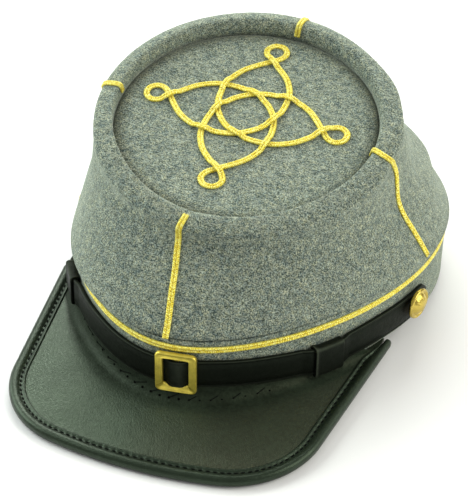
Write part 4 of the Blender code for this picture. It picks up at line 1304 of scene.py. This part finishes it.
BUCKLE_RING = 120
BAR_OUTLINE = (
    # across the bar from its outer to its inner edge, and out, as shares
    (0.0, 0.0), (0.0, 0.62), (0.02, 0.82), (0.06, 0.95), (0.12, 1.0), (0.20, 0.96), (0.5, 0.92),
    (0.80, 0.96), (0.88, 1.0), (0.94, 0.95), (0.98, 0.82), (1.0, 0.62), (1.0, 0.0),
)
outer_ring = rounded_box(BUCKLE_WIDTH / 2, BUCKLE_HEIGHT / 2, 2.0, BUCKLE_RING)
inner_ring = rounded_box(BUCKLE_WIDTH / 2 - SIDE_BAR, BUCKLE_HEIGHT / 2 - END_BAR, 0.7,
                         BUCKLE_RING)
for spot in inner_ring:
    if spot.y < SCOOP_BELOW:
        # the lower bar's inner edge is scooped out between two small shoulders
        scoop = SCOOP_DEPTH * min(1.0, abs(spot.x) / SCOOP_HALF) ** 2.5 - 0.3
        spot.y += scoop * min(1.0, (SCOOP_BELOW - spot.y) / 2.5)


def buckle_spot(i, j):
    """A point on the frame: i runs round the buckle and j over its bar."""
    across, out = BAR_OUTLINE[j % len(BAR_OUTLINE)]
    outside = outer_ring[i % BUCKLE_RING]
    flat = outside.lerp(inner_ring[i % BUCKLE_RING], across)
    # the lower bar leans back, so its face catches the light from above
    leaning = min(1.0, max(0.0, (-outside.y - BUCKLE_HEIGHT / 2 + 2.0) / 2.0))
    out *= 1.0 - 0.5 * across * leaning
    return buckle_seat @ Vector((flat.x, flat.y, out * BUCKLE_THICK))


buckle_bm = shaped_grid(BUCKLE_RING, len(BAR_OUTLINE), buckle_spot)
bar_size = (MIDDLE_BAR_WIDTH, BUCKLE_HEIGHT - 3.3, MIDDLE_BAR_THICK, 1.0)
bar_place = (REST @ Matrix.Scale(MM, 4) @ buckle_seat
             @ Matrix.Translation((0.0, 0.0, MIDDLE_BAR_OUT)) @ Matrix.Diagonal(bar_size))
bmesh.ops.create_cube(buckle_bm, size=1.0, matrix=bar_place)
finish_piece("buckle_brass", buckle_bm, buckle_brass, ("buckle",))

# ---- side buttons ---------------------------------------------------------------------------
# Small domed buttons of polished brass: a turned rim round a dome with fine rays. A short shank
# behind each holds it a little off the strap's end.

BUTTON_LEFT, BUTTON_RIGHT, BUTTON_Z = 79.1, -91.0, -10.3
BUTTON_PROFILE = (
    # radius, height
    (0.0, 3.75), (0.5, 3.74), (1.0, 3.68), (1.5, 3.58), (2.0, 3.45), (2.5, 3.28), (3.0, 3.06),
    (3.5, 2.80), (4.0, 2.48), (4.5, 2.10), (4.9, 1.72), (5.2, 1.42), (5.45, 1.34), (5.7, 1.52),
    (5.95, 1.76), (6.25, 1.86), (6.55, 1.74), (6.8, 1.42), (6.9, 1.0), (6.85, 0.4), (6.4, 0.0),
    (2.0, 0.0), (2.0, -1.2), (0.0, -1.2),
)
BUTTON_AROUND = 96
SHANK = 1.6
RAYS, RAY_HEIGHT, RAY_FROM, RAY_TO = 16, 0.17, 1.2, 4.7

button_brass = brass_material("button_brass", (0.62, 0.47, 0.10), 0.24)


def add_button(name, turn):
    """One button, standing on its shank off the strap."""
    seat = facing_out(turn, BUTTON_Z, STRAP_SEAT + STRAP_THICK + 0.3 + SHANK)

    def place(i, j):
        radius, height = BUTTON_PROFILE[j]
        a = 2.0 * math.pi * (i % BUTTON_AROUND) / BUTTON_AROUND
        if RAY_FROM < radius < RAY_TO:
            swell = math.sin(math.pi * (radius - RAY_FROM) / (RAY_TO - RAY_FROM))
            height += RAY_HEIGHT * (0.5 + 0.5 * math.cos(RAYS * a)) * swell
        return seat @ Vector((radius * math.cos(a), radius * math.sin(a), height))

    bm = shaped_grid(BUTTON_AROUND, len(BUTTON_PROFILE) - 1, place)
    finish_piece(name + "_brass", bm, button_brass, (name,))


add_button("button_left", BUTTON_LEFT)
add_button("button_right", BUTTON_RIGHT)
